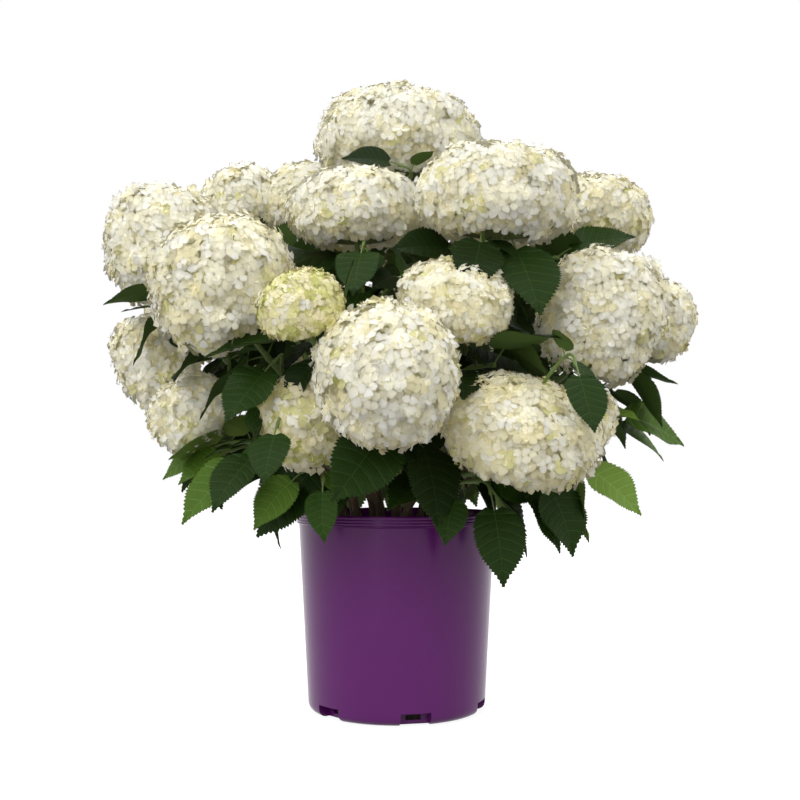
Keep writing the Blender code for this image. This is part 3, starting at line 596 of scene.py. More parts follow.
def main_path(mass, swing, spread):
    """A curve from the filling up through the cane and on through the mass's stem to its head. Its foot
    stands out along the head's own azimuth, further for a head that is further out, turned by swing and moved
    out by spread."""
    end, direction = targets(mass)[0]
    azimuth = math.atan2(end[1], end[0]) + math.radians(swing)
    radius = min((14 + 0.19 * math.hypot(end[0], end[1])) * spread, MIX_FLAT_RADIUS - 12)
    foot = np.array([radius * math.cos(azimuth), radius * math.sin(azimuth), MIX_TOP + CANE_GAP])
    span = np.linalg.norm(end - foot)
    rise = 0.42 * span * UP + 0.06 * span * outwards(end[0], end[1]) if mass.heads else 0.55 * span * UP
    return bezier(foot, foot + rise, end - 0.25 * span * direction, end, 40)


def side_path(stem, share, end, direction):
    """A twig's curve from a share of the way along the leafy stem to its own tip."""
    start, heading = stations(stem, (1 - LEAFY_SHARE * (1 - share)) * lengths_along(stem)[-1])
    span = np.linalg.norm(end - start)
    away = unit(heading + unit(end - start))
    return bezier(start, start + 0.3 * span * away, end - 0.3 * span * direction, end, 16)


def dots(path):
    """Points along a path at most 5 mm from each other."""
    length = lengths_along(path)[-1]
    return stations(path, np.linspace(0, length, math.ceil(length / 5) + 1))[0]


def room(path, taken, heads):
    """How far a path stays from every path taken so far, and from the surfaces of other masses' heads."""
    own = dots(path)
    free = min((np.linalg.norm(own[:, None] - other[None], axis=2).min() for other in taken), default=1000.0)
    for head in heads:
        free = min(free, (head_measure(head, own).min() - 1) * min(head.half_width, head.rise, head.drop))
    return free


def clear_path(choices, taken, heads):
    """The first of some ways to lay a path that keeps clear of the rest, or the clearest."""
    best, best_room = None, -math.inf
    for path in choices:
        free = room(path, taken, heads)
        if free > LIMB_CLEAR:
            return path
        if free > best_room:
            best, best_room = path, free
    return best


def cane_part(path):
    """The part of a mass's main path that is its cane."""
    return stations(path, np.linspace(0, (1 - LEAFY_SHARE) * lengths_along(path)[-1], 7))[0]


def lay_paths():
    """Each mass's stem from the filling to its tip and then its side twigs, every one swung until it is
    clear."""
    laid, taken = {name: [] for name in MASSES}, []
    for name, mass in sorted(MASSES.items(), key=lambda item: targets(item[1])[0][0][2]):
        others = [head for other in MASSES if other != name for head in MASSES[other].heads]
        laid[name].append(clear_path((main_path(mass, *way) for way in STEM_WAYS), taken, others))
        taken.append(dots(laid[name][0]))
    for name, mass in MASSES.items():
        others = [head for other in MASSES if other != name for head in MASSES[other].heads]
        elsewhere = [dots(path) for other in MASSES if other != name for path in laid[other]]
        elsewhere.append(dots(cane_part(laid[name][0])))
        for end, direction in targets(mass)[1:]:
            ways = (side_path(laid[name][0], share, end, direction) for share in TWIG_WAYS)
            laid[name].append(clear_path(ways, elsewhere, others))
    return laid


paths = lay_paths()


def tube(path, start, end, radius, rings, sides):
    """Points and quads of a closed tube carried along a path. radius is a function of the distance along the
    tube, 0 to 1, and the angle round it. Rings are square to the path, and the ends are fans."""
    distances = np.linspace(start, end, rings)
    centres, directions = stations(path, distances)
    across = np.empty_like(centres)
    last = np.array([0.31, 0.95, 0.05])
    for ring, direction in enumerate(directions):
        last = square_to(direction, last)
        across[ring] = last
    up = np.cross(directions, across)
    angle = np.arange(sides) * 2 * math.pi / sides
    reach = np.asarray(radius(np.linspace(0, 1, rings)[:, None], angle[None, :]))[..., None]
    spokes = np.cos(angle)[:, None] * across[:, None] + np.sin(angle)[:, None] * up[:, None]
    first, last = (np.repeat(centres[end][None, None], sides, 1) for end in (0, -1))
    closed = np.concatenate([first, centres[:, None] + reach * spokes, last])
    return closed.reshape(-1, 3), lattice(rings + 2, sides).reshape(-1, 4)


def joined(parts):
    """Points and faces of several shapes as one."""
    starts = np.cumsum([0] + [len(points) for points, _ in parts])
    return np.concatenate([p for p, _ in parts]), np.concatenate([f + s for (_, f), s in zip(parts, starts)])


NODE_SPACING = 46.0  # of the old nodes on a cane
BARK_RIDGES = 7  # strips of bark round a cane
BARK_RELIEF = 0.28
BARK_STEP = 3.2  # between two rings of a cane's mesh
cane_draw = np.random.default_rng(23)


def bark(length, phase):
    """A cane's radius: an even taper with a flare at its foot, low ridges that wander round it as they climb,
    and a swelling at every node."""

    def radius(share, angle):
        taper = CANE_FOOT_RADIUS + (CANE_TIP_RADIUS - CANE_FOOT_RADIUS) * share
        flare = 1 + (CANE_FLARE - 1) * np.exp(-share * length / 9)
        wander = phase + 0.8 * np.sin(share * length / 31 + phase)
        ridges = np.sin(BARK_RIDGES * angle + wander * 3)
        ridges = ridges * (0.6 + 0.4 * np.sin(share * length / 6 + 2 * angle))
        node = np.exp(-(((share * length + phase * 9) % NODE_SPACING - NODE_SPACING / 2) ** 2) / 9)
        return taper * flare + BARK_RELIEF * ridges * (1 - 0.5 * node) + 0.75 * node

    return radius


cane_parts, stem_start = [], {}
for name, laid in paths.items():
    joint = (1 - LEAFY_SHARE) * lengths_along(laid[0])[-1]
    rings = int(joint / BARK_STEP)
    cane_parts.append(tube(laid[0], 0, joint, bark(joint, cane_draw.uniform(0, 6)), rings, 20))
    stem_start[name] = joint + CANE_GAP

# Hydrangea bark: tan over grey brown, in strips that follow the cane, matt and a little papery.
BARK_FIBRE = 10 / 7  # seven fibres to a centimetre
FIBRE_LENGTH = 11.9
BARK_PATCH = 16.7  # how wide its greyer patches are
cane_bark, tree, shader, place = finish("peeling_tan_bark", "#8a6f52", 0.85)
squeezed = add(tree, "ShaderNodeMapping", {"Scale": (1.0, 1.0, BARK_FIBRE / FIBRE_LENGTH)}, Vector=place)
strips = add(
    tree,
    "ShaderNodeTexNoise",
    {"Scale": repeats(BARK_FIBRE), "Detail": 4.0, "Roughness": 0.6},
    Vector=squeezed.outputs["Vector"],
)
patch = add(tree, "ShaderNodeTexNoise", {"Scale": repeats(BARK_PATCH), "Detail": 3.0}, Vector=place)
strong = add(tree, "ShaderNodeMapRange", {"From Min": 0.35, "From Max": 0.65}, Value=strips.outputs["Fac"])
tan = add(
    tree,
    "ShaderNodeMix",
    {"data_type": "RGBA", "A": linear("#5d4433"), "B": linear("#a88a68")},
    Factor=strong.outputs["Result"],
)
grey = add(
    tree,
    "ShaderNodeMix",
    {"data_type": "RGBA", "B": linear("#7c6f60")},
    Factor=patch.outputs["Fac"],
    A=tan.outputs["Result"],
)
tree.links.new(grey.outputs["Result"], shader.inputs["Base Color"])
bump = add(tree, "ShaderNodeBump", {"Strength": 0.7, "Distance": 0.8 * MM}, Height=strips.outputs["Fac"])
tree.links.new(bump.outputs["Normal"], shader.inputs["Normal"])

points, faces = joined(cane_parts)
canes = piece("canes", points, faces, [cane_bark])
weld(canes, 70)
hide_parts(*("cane_" + name for name in MASSES))

# ---------------------------------------------------------------------------------- the stems and leaf stalks
# A green shoot of this year grows on from every cane and forks into side twigs. It is smooth and a little
# flushed with brown, swells where each pair of leaves leaves it, and every leaf hangs on a stalk a third as
# long as its blade.

STEM_TIP_RADIUS, TWIG_RADIUS, TWIG_TIP_RADIUS = 3.0, 2.9, 2.3
STALK_RADIUS = 1.4
NODE_SWELL = 0.9
LEAF_LENGTH = 96.0
PETIOLE_SHARE = 0.28  # of the blade's length
LEAF_WIDTH = 0.64  # of its length
PAIR_SPACING = 44.0
HEAD_PAIRS = 4  # on the stem under a mass's first head
SHARPEST_BEND = 0.35  # the cosine between a stalk and its blade, below which no leaf grows
LOWER_LEAF = 0.06  # how much longer each lower pair is
SHOOT_DROOP = 0.4  # how much less a leaf hangs at the end of a leafy shoot than under a head
LEAF_OUTWARDS = 0.6  # how much a leaf faces outwards, where it faces up by 1
SHOW_SIDE = np.array([0.0, -0.8, 0.0])  # and how much the one leaf at a shoot's end faces to the show side
Leaf = namedtuple("Leaf", "root out along face length mass")  # the stalk runs out, and the blade runs along


def aside(leaf, size, swing):
    """A leaf at another size, swung round its root, as it grows where something is in its way."""
    c, s = math.cos(math.radians(swing)), math.sin(math.radians(swing))
    turn = np.array([(c, -s, 0), (s, c, 0), (0, 0, 1)])
    out, along, face = (turn @ vector for vector in (leaf.out, leaf.along, leaf.face))
    return leaf._replace(out=out, along=along, face=face, length=size * leaf.length)


def leaf_pair(point, heading, azimuth, forward, droop, length, draw, name):
    """Two leaves on the two sides of a stem: their stalks slant forward along it, and the blades hang from
    them."""
    level_side = np.cross(UP, heading) + 1e-3 * np.array(Vector(heading).orthogonal())
    side = turned_by(square_to(heading, level_side), heading, azimuth)
    leaves = []
    for sign in (1, -1):
        size = length * draw.uniform(0.85, 1.1)
        out = unit(sign * side + forward * heading + draw.uniform(0.0, 0.2) * UP)
        level = outwards(point[0], point[1])
        along = unit(out + 0.25 * level - droop * draw.uniform(0.3, 1.1) * UP)
        face = square_to(along, UP + LEAF_OUTWARDS * level + draw.uniform(-0.9, 0.9) * np.cross(UP, level))
        leaves.append(Leaf(point, out, along, face, size, name))
    return leaves


def last_leaf(path, length, name):
    """The one leaf that goes straight on from a shoot's tip, and faces up, outwards and to the show side."""
    point, heading = stations(path, lengths_along(path)[-1] - 3)
    face = square_to(heading, UP + LEAF_OUTWARDS * outwards(point[0], point[1]) + SHOW_SIDE)
    return Leaf(point, heading, heading, face, length, name)


def leaves_on(path, start, first, pairs, turn, droop, length, draw, name):
    """Crossed pairs down a limb from near its tip, as far as its start. A pair at the very tip slants forward
    the most."""
    end = lengths_along(path)[-1]
    leaves = []
    for k in range(pairs):
        distance = end - first - k * PAIR_SPACING
        point, heading = stations(path, distance)
        azimuth = math.radians(turn + 90 * k + draw.uniform(-14, 14))
        forward = 0.35 if k or first > PAIR_SPACING / 2 else 1.2
        pair = leaf_pair(point, heading, azimuth, forward, droop, length * (1 + LOWER_LEAF * k), draw, name)
        if distance > start + 4:
            leaves += [leaf for leaf in pair if leaf.out @ leaf.along > SHARPEST_BEND]
    return leaves


SMALL = 0.62  # how long the leaves between the main ones are, as a share of theirs
SMALL_BACK = 26  # from a shoot's last leaf to the small pair behind it


def wished_leaves(name, mass):
    """The leaves that a mass would grow if nothing stood in their way: those that end its shoots, the main
    pairs, and the small pairs that fill in halfway between them."""
    draw, fine = random.Random(name), random.Random(name + " small")
    last, paired, small = [], [], []
    for k, (path, tip) in enumerate(zip(paths[name], [*mass.heads, *mass.shoots])):
        turn, start = mass.turn + 50 * k, stem_start[name] if k == 0 else 0
        if isinstance(tip, Shoot) and not tip.pairs:
            last.append(last_leaf(path, tip.leaf, name))
            small += leaves_on(path, start, SMALL_BACK, 1, turn, SHOOT_DROOP, SMALL * tip.leaf, fine, name)
            continue
        if isinstance(tip, Shoot):
            first, pairs, droop, blade = 2, tip.pairs, SHOOT_DROOP, tip.leaf
        else:
            first, droop = 0.7 * tip.drop + 26, 1
            pairs, blade = (HEAD_PAIRS, LEAF_LENGTH) if k == 0 else (1, 0.85 * LEAF_LENGTH)
        paired += leaves_on(path, start, first, pairs, turn, droop, blade, draw, name)
        halfway = first + PAIR_SPACING / 2
        small += leaves_on(path, start, halfway, pairs, turn + 45, droop, SMALL * blade, fine, name)
    return last, paired, small


def blade_corners(leaf):
    """The shoulder, the two sides and the tip of a blade."""
    across = np.cross(leaf.along, leaf.face)
    shoulder = leaf.root + PETIOLE_SHARE * leaf.length * leaf.out
    half, lift = LEAF_WIDTH * leaf.length / 2 * across, 0.05 * leaf.length * leaf.face
    widest = shoulder + 0.34 * leaf.length * leaf.along + lift
    tip = shoulder + leaf.length * (leaf.along - 0.07 * leaf.face)
    return np.array([shoulder, widest + half, tip, widest - half])


# The points of a blade that are tested, as shares of its four corners: the corners and three between them.
BLADE_TESTS = np.concatenate([np.eye(4), [(0.5, 0, 0.5, 0), (0.5, 0.5, 0, 0), (0.5, 0, 0, 0.5)]])
HEADS = [head for mass in MASSES.values() for head in mass.heads]
HEAD_ROOM = 0.97  # how far out of a head a blade stays
POT_ROOM = 3
BLADE_ROOM = 3  # over and under a blade
SLAB_FACES = [(0, 1, 2), (0, 2, 3), (4, 6, 5), (4, 7, 6)]
for k in range(4):
    after = (k + 1) % 4
    SLAB_FACES += [(k, k + 4, after), (k + 4, after + 4, after)]


def blocked(leaf, trees):
    """True where a blade would touch the pot, run into a flower head, or cross a limb or another blade."""
    tests = BLADE_TESTS @ blade_corners(leaf)
    low = tests[:, 2] < POT_HEIGHT + POT_ROOM
    if (low & (np.hypot(tests[:, 0], tests[:, 1]) < LIP_RADIUS + POT_ROOM)).any():
        return True
    if any((head_measure(head, tests) < HEAD_ROOM).any() for head in HEADS):
        return True
    slab = np.concatenate([blade_corners(leaf) + side * BLADE_ROOM * leaf.face for side in (1, -1)])
    own = BVHTree.FromPolygons(slab.tolist(), SLAB_FACES)
    if any(own.overlap(tree) for tree in trees):
        return True
    trees.append(own)
    return False


LEAF_WAYS = [(1, 0), (1, 24), (1, -24), (0.86, 0), (0.86, 24), (0.86, -24), (0.74, 0)]  # size, degrees aside
limb_parts, limb_trees = [], []
for name, laid in paths.items():
    for k, path in enumerate(laid):
        start, radius = (stem_start[name], CANE_TIP_RADIUS) if k == 0 else (0, TWIG_RADIUS)
        end = lengths_along(path)[-1]
        tip = [*MASSES[name].heads, *MASSES[name].shoots][k]
        last = STEM_TIP_RADIUS if k == 0 else TWIG_TIP_RADIUS
        if isinstance(tip, Shoot) and not tip.pairs:
            last = STALK_RADIUS
        first = 2 if isinstance(tip, Shoot) else 0.7 * tip.drop + 26

        def swollen(share, angle, radius=radius, last=last, start=start, end=end, first=first):
            """An even taper, with a swelling wherever a pair of leaves leaves the stem."""
            back = (end - start) * (1 - share) - first
            ring = np.exp(-(((back + PAIR_SPACING / 2) % PAIR_SPACING - PAIR_SPACING / 2) ** 2) / 14)
            return radius + (last - radius) * share + NODE_SWELL * ring * (back > -6)

        limb_parts.append(tube(path, start, end, swollen, max(8, int((end - start) / 4)), 9))
        points, faces = tube(path, start, end, lambda share, angle: BLADE_ROOM, 7, 3)
        limb_trees.append(BVHTree.FromPolygons(points.tolist(), faces.tolist()))

leaves = []
wished = [wished_leaves(name, mass) for name, mass in MASSES.items()]
for leaf in [leaf for kind in zip(*wished) for mass_leaves in kind for leaf in mass_leaves]:
    for size, swing in LEAF_WAYS:
        tried = aside(leaf, size, swing)
        if not blocked(tried, limb_trees):
            leaves.append(tried)
            break


def stalk_radius(share, angle):
    """A leaf stalk's radius: an even taper to the blade, and a swelling at the stem that soon fades."""
    return 1.15 + 1.1 * (2 * share - 1) ** 4 * (1 - share) - 0.35 * share


def stalk(leaf):
    """A leaf stalk: a curve from its stem out to the blade, lifted a little in the middle."""
    shoulder = leaf.root + PETIOLE_SHARE * leaf.length * leaf.out
    middle = leaf.root + 0.6 * PETIOLE_SHARE * leaf.length * leaf.out + 1.5 * UP
    path = bezier(leaf.root, middle, middle, shoulder, 8)
    return tube(path, 0, lengths_along(path)[-1], stalk_radius, 6, 6)


# Soft green wood: mid green, satin, with fine pale pores a couple of millimetres apart.
PORE_SPACING = 2.38
green_stem, tree, shader, place = finish("soft_green_stem", "#5f7a38", 0.5)
pores = add(tree, "ShaderNodeTexNoise", {"Scale": repeats(PORE_SPACING), "Detail": 2.0}, Vector=place)
tint = add(
    tree,
    "ShaderNodeMix",
    {"data_type": "RGBA", "A": linear("#4c6a2c"), "B": linear("#7e8f4e")},
    Factor=pores.outputs["Fac"],
)
tree.links.new(tint.outputs["Result"], shader.inputs["Base Color"])

leafy = [name for name, mass in MASSES.items() if not mass.heads]
flowering = [name for name, mass in MASSES.items() if mass.heads]
points, faces = joined(limb_parts)
stems = piece("green_stems", points, faces, [green_stem])
weld(stems, 70)
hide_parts(*("foliage_" + name for name in flowering))
points, faces = joined([stalk(leaf) for leaf in leaves])
stalks = piece("leaf_stalks", points, faces, [green_stem])
weld(stalks, 70)

# ------------------------------------------------------------------------------------------------- the leaves
# A leaf is a broad heart with a drawn-out tip and a toothed edge. Its blade is quilted between seven pairs of
# veins, which are paler than the dull green between them, and its underside is pale grey green.

# Where each pair of veins leaves the midrib. This and the sizes below it are in blade lengths.
VEINS = np.array([0.045, 0.14, 0.25, 0.37, 0.5, 0.64, 0.79])
VEIN_HALF = 0.0038
MIDRIB_HALF = 0.006
TEETH = 3  # between two veins
TOOTH = 0.036
QUILT, VEIN_SUNK = 0.024, 0.005  # how far the panels swell up and the veins lie down
UNDER_GAP = 0.007
OUTLINE_AT = (-0.045, 0.0, 0.06, 0.14, 0.24, 0.36, 0.5, 0.64, 0.78, 0.88, 0.95, 1.0)
OUTLINE_HALF = (0.34, 0.52, 0.73, 0.89, 0.98, 1.0, 0.94, 0.79, 0.48, 0.21, 0.08, 0.0)
leaf_draw = np.random.default_rng(5)


def margin(t):
    """The edge point of the line that leaves the midrib at t. It lies further on by a slant that rises from
    the heart's lobes to the middle and fades at the tip, and as far out as the outline is there."""
    on = t + (-0.045 + 0.265 * np.clip(t / 0.2, 0, 1) ** 0.8) * (1 - t) ** 0.7
    return np.stack([LEAF_WIDTH / 2 * np.interp(on, OUTLINE_AT, OUTLINE_HALF), on], axis=-1)


def line_point(t, share):
    """The point a share of the way out along the line from the midrib at t, bowed towards the tip."""
    edge = margin(t)
    start = MIDRIB_HALF * (1 - 0.75 * t)
    return np.stack([start + (edge[..., 0] - start) * share, t + (edge[..., 1] - t) * share**1.2], axis=-1)


def leaf_pattern():
    """A flat blade of unit length: points as (side, along, relief), triangles and their material parts: 0
    panel, 1 vein, 2 underside. A half has 16 rows of three points across it, from the base past both sides of
    each vein to the tip, and eight panels between them, each a fan round its swollen middle out to the rows
    and the teeth."""
    rows = np.concatenate([[0.0], (VEINS[:, None] + VEIN_HALF * np.array([-1, 1])).ravel(), [1.0]])
    across = line_point(rows[:, None], np.array([0.0, 0.5, 1.0]))
    sunk = np.where((rows[:, None] > 0) & (rows[:, None] < 1), [-VEIN_SUNK, -VEIN_SUNK, 0.0], 0.0)
    low, high = rows[0::2], rows[1::2]
    middles = line_point(0.5 * (low + high), 0.55)
    swell = QUILT * np.minimum(1, (high - low) / 0.1)
    along = low[:, None] + (high - low)[:, None] * np.arange(1, 2 * TEETH) / (2 * TEETH)
    out = TOOTH * (1 - 0.6 * along) * (np.arange(1, 2 * TEETH) % 2)
    teeth = margin(along) + out[..., None] * np.array([1.0, 0.7])
    flat = [np.dstack([across, sunk]), np.column_stack([middles, swell]), np.dstack([teeth, 0 * along])]
    half = np.concatenate([points.reshape(-1, 3) for points in flat])

    grid = np.arange(48).reshape(16, 3)
    grid[-1] = grid[-1, 0]  # the tip is one point
    middle, teeth = 48 + np.arange(8), 56 + np.arange(8 * (2 * TEETH - 1)).reshape(8, -1)
    rim = np.concatenate([grid[0::2], teeth, grid[1::2, ::-1]], axis=1)
    fans = np.stack([np.broadcast_to(middle[:, None], rim.shape), rim, np.roll(rim, -1, axis=1)], axis=-1)
    near, far = grid[1:-1:2], grid[2::2]
    veins = np.stack([near[:, :-1], near[:, 1:], far[:, 1:], near[:, :-1], far[:, 1:], far[:, :-1]], axis=-1)
    side = np.concatenate([fans.reshape(-1, 3), veins.reshape(-1, 3)])
    side_parts = np.repeat([0, 1], [fans.size // 3, veins.size // 3])

    count = len(half)
    low, high = grid[:-1, 0], grid[1:, 0]
    ribs = np.stack([low + count, low, high, low + count, high, high + count], axis=-1)
    top = np.concatenate([half, half * (-1, 1, 1)])
    faces = np.concatenate([side, side[:, ::-1] + count, ribs.reshape(-1, 3)])
    parts = np.concatenate([side_parts, side_parts, np.ones(len(ribs) * 2, int)])
    under = top * (0.985, 1, 0.2) - (0, 0, UNDER_GAP)
    whole = (faces[:, 0] != faces[:, 1]) & (faces[:, 1] != faces[:, 2]) & (faces[:, 2] != faces[:, 0])
    faces, parts = faces[whole], parts[whole]
    both = np.concatenate([faces, faces[:, ::-1] + len(top)])
    return np.concatenate([top, under]), both, np.concatenate([parts, np.full(len(parts), 2)])


def blades(leaves, shapes):
    """The pattern bent into every leaf at once, as whole arrays. shapes holds each leaf's fold, droop, wave,
    phase and width: the halves rise by fold, the tip falls and swings a little aside with the square of the
    way along, and the edges wave."""
    root, out, along, face = (np.array([leaf[k] for leaf in leaves]) for k in range(4))
    length = np.array([leaf.length for leaf in leaves])[:, None]
    across = np.cross(along, face)
    fold, droop, wave, phase, width = (shapes[:, k, None] for k in range(5))
    x, y, relief = (PATTERN[None, :, k] for k in range(3))
    x = x * width
    sweep = 0.05 * np.sin(phase * 7) * y**2
    waves = wave * np.sin(2 * math.pi * (1.3 * y + phase)) * np.abs(x)
    rise = fold * np.abs(x) - droop * y**2 + waves + relief
    run = y * (1 - 0.35 * droop**2 * y)
    shoulder = root + PETIOLE_SHARE * length * out
    axes = np.stack([across, along, face], axis=1)
    points = np.stack([x + sweep, run, rise], axis=-1) @ axes
    return shoulder[:, None] + length[..., None] * points


PATTERN, pattern_faces, pattern_parts = leaf_pattern()
LEAST, MOST = (0.0, 0.06, -0.16, 0, 0.98), (0.3, 0.34, 0.16, 1, 1.2)  # fold, droop, wave, phase and width
shapes = leaf_draw.uniform(LEAST, MOST, (len(leaves), 5))
leaf_points = blades(leaves, shapes)
leaf_faces = pattern_faces[None] + len(PATTERN) * np.arange(len(leaves))[:, None, None]

# Leaf green: each leaf is one plain tint of it, from near black green, which is painted shade on leaves deep
# in the shrub and under the heads, to the yellow green of young shoots. A waxy skin gives it a soft gloss,
# and the veins between the quilted panels are a lighter green.
BLADE_TINTS = {
    "leaf_green_deep": ("#182808", "#28401a"),
    "leaf_green_dark": ("#20360b", "#334e1f"),
    "leaf_green_full": ("#2b4610", "#40602a"),
    "leaf_green_fresh": ("#4c6a20", "#64823c"),
    "leaf_green_young": ("#71903a", "#8aa552"),
}
UNDER_TINT = ("#516a34", "#7f9a48")
NET_MESH = 3.57  # width of a mesh of the fine veins' net
NET = {"feature": "DISTANCE_TO_EDGE", "Scale": repeats(NET_MESH)}
finishes = []
for name, pair in BLADE_TINTS.items():
    for kind, colour in zip(("blade", "vein"), pair):
        made, tree, shader, place = finish(f"{name}_{kind}", colour, 0.5, Specular_IOR_Level=0.12)
        net = add(tree, "ShaderNodeTexVoronoi", NET, Vector=place)
        bump = add(tree, "ShaderNodeBump", {"Strength": 0.6, "Distance": MM}, Height=net.outputs["Distance"])
        tree.links.new(bump.outputs["Normal"], shader.inputs["Normal"])
        finishes.append(made)
for kind, colour in zip(("full", "young"), UNDER_TINT):
    finishes.append(finish(f"leaf_underside_{kind}", colour, 0.75, Specular_IOR_Level=0.1)[0])

CROWN_REACH = 300  # from the pot's axis out to the crown's flanks
SHADED_FROM = 330  # the height from which the heads keep the leaves in the shade
YOUNG_SHOOTS = {"skirt_left": 0.3, "skirt_right": 0.5, "skirt_front_left": 0.15, "skirt_rear": 0.3}
END_TINTS = {  # tints of the leaves at the ends of some masses' shoots, where they stand clear of the crown
    "skirt_left": (3, 3, 3, 1),
    "skirt_front_left": (3, 2),
    "skirt_right": (3, 4),
    "skirt_front_right": (1, 1, 1, 2),
}
# The further out a leaf grows, the greener it is by odds: the darker tints further in are painted shade
# inside the shrub. Above SHADED_FROM, away from young shoots, a leaf takes only the two darkest tints, as
# painted shade under the heads. Leaves on shoots that stand free may be young.
grown = dict.fromkeys(MASSES, 0)
tint_of_leaf = []
for leaf in leaves:
    reach = math.hypot(*leaf.root[:2]) / CROWN_REACH
    young = YOUNG_SHOOTS.get(leaf.mass, 0.01)
    odds = np.array([0.42 - 0.3 * reach, 0.34, 0.2 + 0.1 * reach, 0.04 + 0.6 * young, 0.5 * young])
    if leaf.root[2] > SHADED_FROM and young < 0.1:
        odds[2:] = 0
    tint = leaf_draw.choice(len(BLADE_TINTS), p=odds / odds.sum())
    ends = END_TINTS.get(leaf.mass, ())
    tint_of_leaf.append(ends[grown[leaf.mass]] if grown[leaf.mass] < len(ends) else tint)
    grown[leaf.mass] += 1
tint_of_leaf = np.array(tint_of_leaf)[:, None]
above = 2 * tint_of_leaf + pattern_parts[None]
below = 2 * len(BLADE_TINTS) + (tint_of_leaf == len(BLADE_TINTS) - 1)
which = np.where(pattern_parts[None] < 2, above, below)

leafage = piece("leaves", leaf_points, leaf_faces, finishes, which.ravel())
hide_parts(*("foliage_" + name for name in leafy))

# ------------------------------------------------------------------------------------------- the flower heads
# A head is a dome of sterile florets on a branching truss of green rays. Each floret is four broad sepals
# that cup and overlap, papery white or cream, and greener where it is young. Florets deep in the dome and low
# on its underside take greener, darker tints: partly the green of young florets and partly painted shade.

FLORET_SPACING = 10.9  # between the middles of neighbours
SEPAL = 10.6  # from a floret's middle to its edge
FULLNESS = 2.3  # the power of the rounded box that a head fills, where 2 is an ellipsoid
HANG = 0.3  # how much of its downward tilt a floret keeps on a head's underside, where florets hang
LUMP = 0.06  # how far clusters of florets stand out, as a share of the radius
STRAY = 0.28  # how far a floret strays from its even place, as a share of the spacing
TUMBLE = 0.26  # how far a floret leans from square to the dome
VARIANTS = 10
floret_draw = np.random.default_rng(41)
GOLDEN = math.pi * (3 - math.sqrt(5))


def floret_patterns():
    """VARIANTS florets of unit radius: four sepals a quarter turn apart, each a rounded wedge of seven points
    and six triangles. Its edge points rise by a cup and a ruffle, and neighbours lie a little over and under
    each other."""
    edge = [(0.06, 0.0), (0.34, -0.36), (0.8, -0.44), (1.02, 0.0), (0.8, 0.44), (0.34, 0.36)]
    middle = (0.52, 0.0)
    shape = np.zeros((VARIANTS, 4, 7, 3))
    shape[..., :2] = np.array([*edge, middle]) + floret_draw.uniform(-0.05, 0.05, (VARIANTS, 4, 7, 2))
    reach = floret_draw.uniform(0.82, 1.1, (VARIANTS, 4, 1))
    cup = floret_draw.uniform(-0.5, 0.12, (VARIANTS, 4, 1))
    ruffle = floret_draw.uniform(-0.24, 0.24, (VARIANTS, 4, 7))
    far = np.hypot(shape[..., 0], shape[..., 1])
    shape[..., :2] *= reach[..., None]
    shape[..., 2] = cup * far**2 + ruffle * (far > 0.6) + 0.10 * (np.arange(4) % 2)[None, :, None] * far
    shape[..., 6, 2] -= 0.05
    turn = np.arange(4) * math.pi / 2 + floret_draw.uniform(-0.16, 0.16, (VARIANTS, 4))
    x, y = spun(shape[..., 0], shape[..., 1], turn[..., None])
    return np.stack([x, y, shape[..., 2]], axis=-1).reshape(VARIANTS, 28, 3)


FLORETS = floret_patterns()
SEPAL_FACES = np.array([(6, k, (k + 1) % 6) for k in range(6)])
FLORET_FACES = (SEPAL_FACES[None] + 7 * np.arange(4)[:, None, None]).reshape(-1, 3)


def lumps(sphere, draw):
    """How much each point of a unit sphere stands out: four waves across it in random directions, added up
    and scaled to lie mostly from -1 to 1."""
    total = np.zeros(len(sphere))
    for turns in (6, 9, 13, 17):
        direction = unit(draw.normal(size=3))
        total += np.sin(turns * sphere @ direction + draw.uniform(0, 6))
    return total / 2.4


def in_head(head, sphere):
    """Where points of a unit sphere lie round a head's middle, and the surface's normals there. With d the
    distance from the head's axis, the surface is (d / half_width)^p + (z / height)^p = 1, and p is
    FULLNESS."""
    level = np.hypot(sphere[..., 0], sphere[..., 1])
    share = np.stack([level, level, np.abs(sphere[..., 2])], axis=-1)
    radii = np.full(sphere.shape, float(head.half_width))
    radii[..., 2] = np.where(sphere[..., 2] > 0, head.rise, head.drop)
    swell = (share[..., :1] ** FULLNESS + share[..., 2:] ** FULLNESS) ** (-1 / FULLNESS)
    frame = head_frame(head).T
    return (swell * sphere * radii) @ frame, (sphere * share ** (FULLNESS - 2) / radii) @ frame


def dome(head, spacing, depth, lowest):
    """Middles and outward normals of points spread over a head by the golden angle, at a share of its radius,
    down to lowest, where 1 is its top and -1 the bottom of its underside."""
    area = 2 * math.pi * head.half_width * (head.half_width + (head.rise + head.drop) / 2) * depth**2
    count = int(area / spacing**2)
    k = np.arange(count)
    z = 1 - (2 * k + 1) / count
    ring = np.sqrt(1 - z * z)
    sphere = np.stack([ring * np.cos(GOLDEN * k), ring * np.sin(GOLDEN * k), z], axis=-1)
    sphere = unit(sphere + floret_draw.normal(0, STRAY * spacing / head.half_width, sphere.shape))
    sphere = sphere[sphere[:, 2] > lowest]
    out = 1 + LUMP * lumps(sphere, floret_draw) + floret_draw.uniform(-0.02, 0.02, len(sphere))
    filled, normals = in_head(head, sphere)
    middles = np.array(head[:3]) + depth * out[:, None] * filled
    normals[:, 2] *= np.where(normals[:, 2] < 0, HANG, 1)
    return middles, unit(normals), sphere[:, 2]


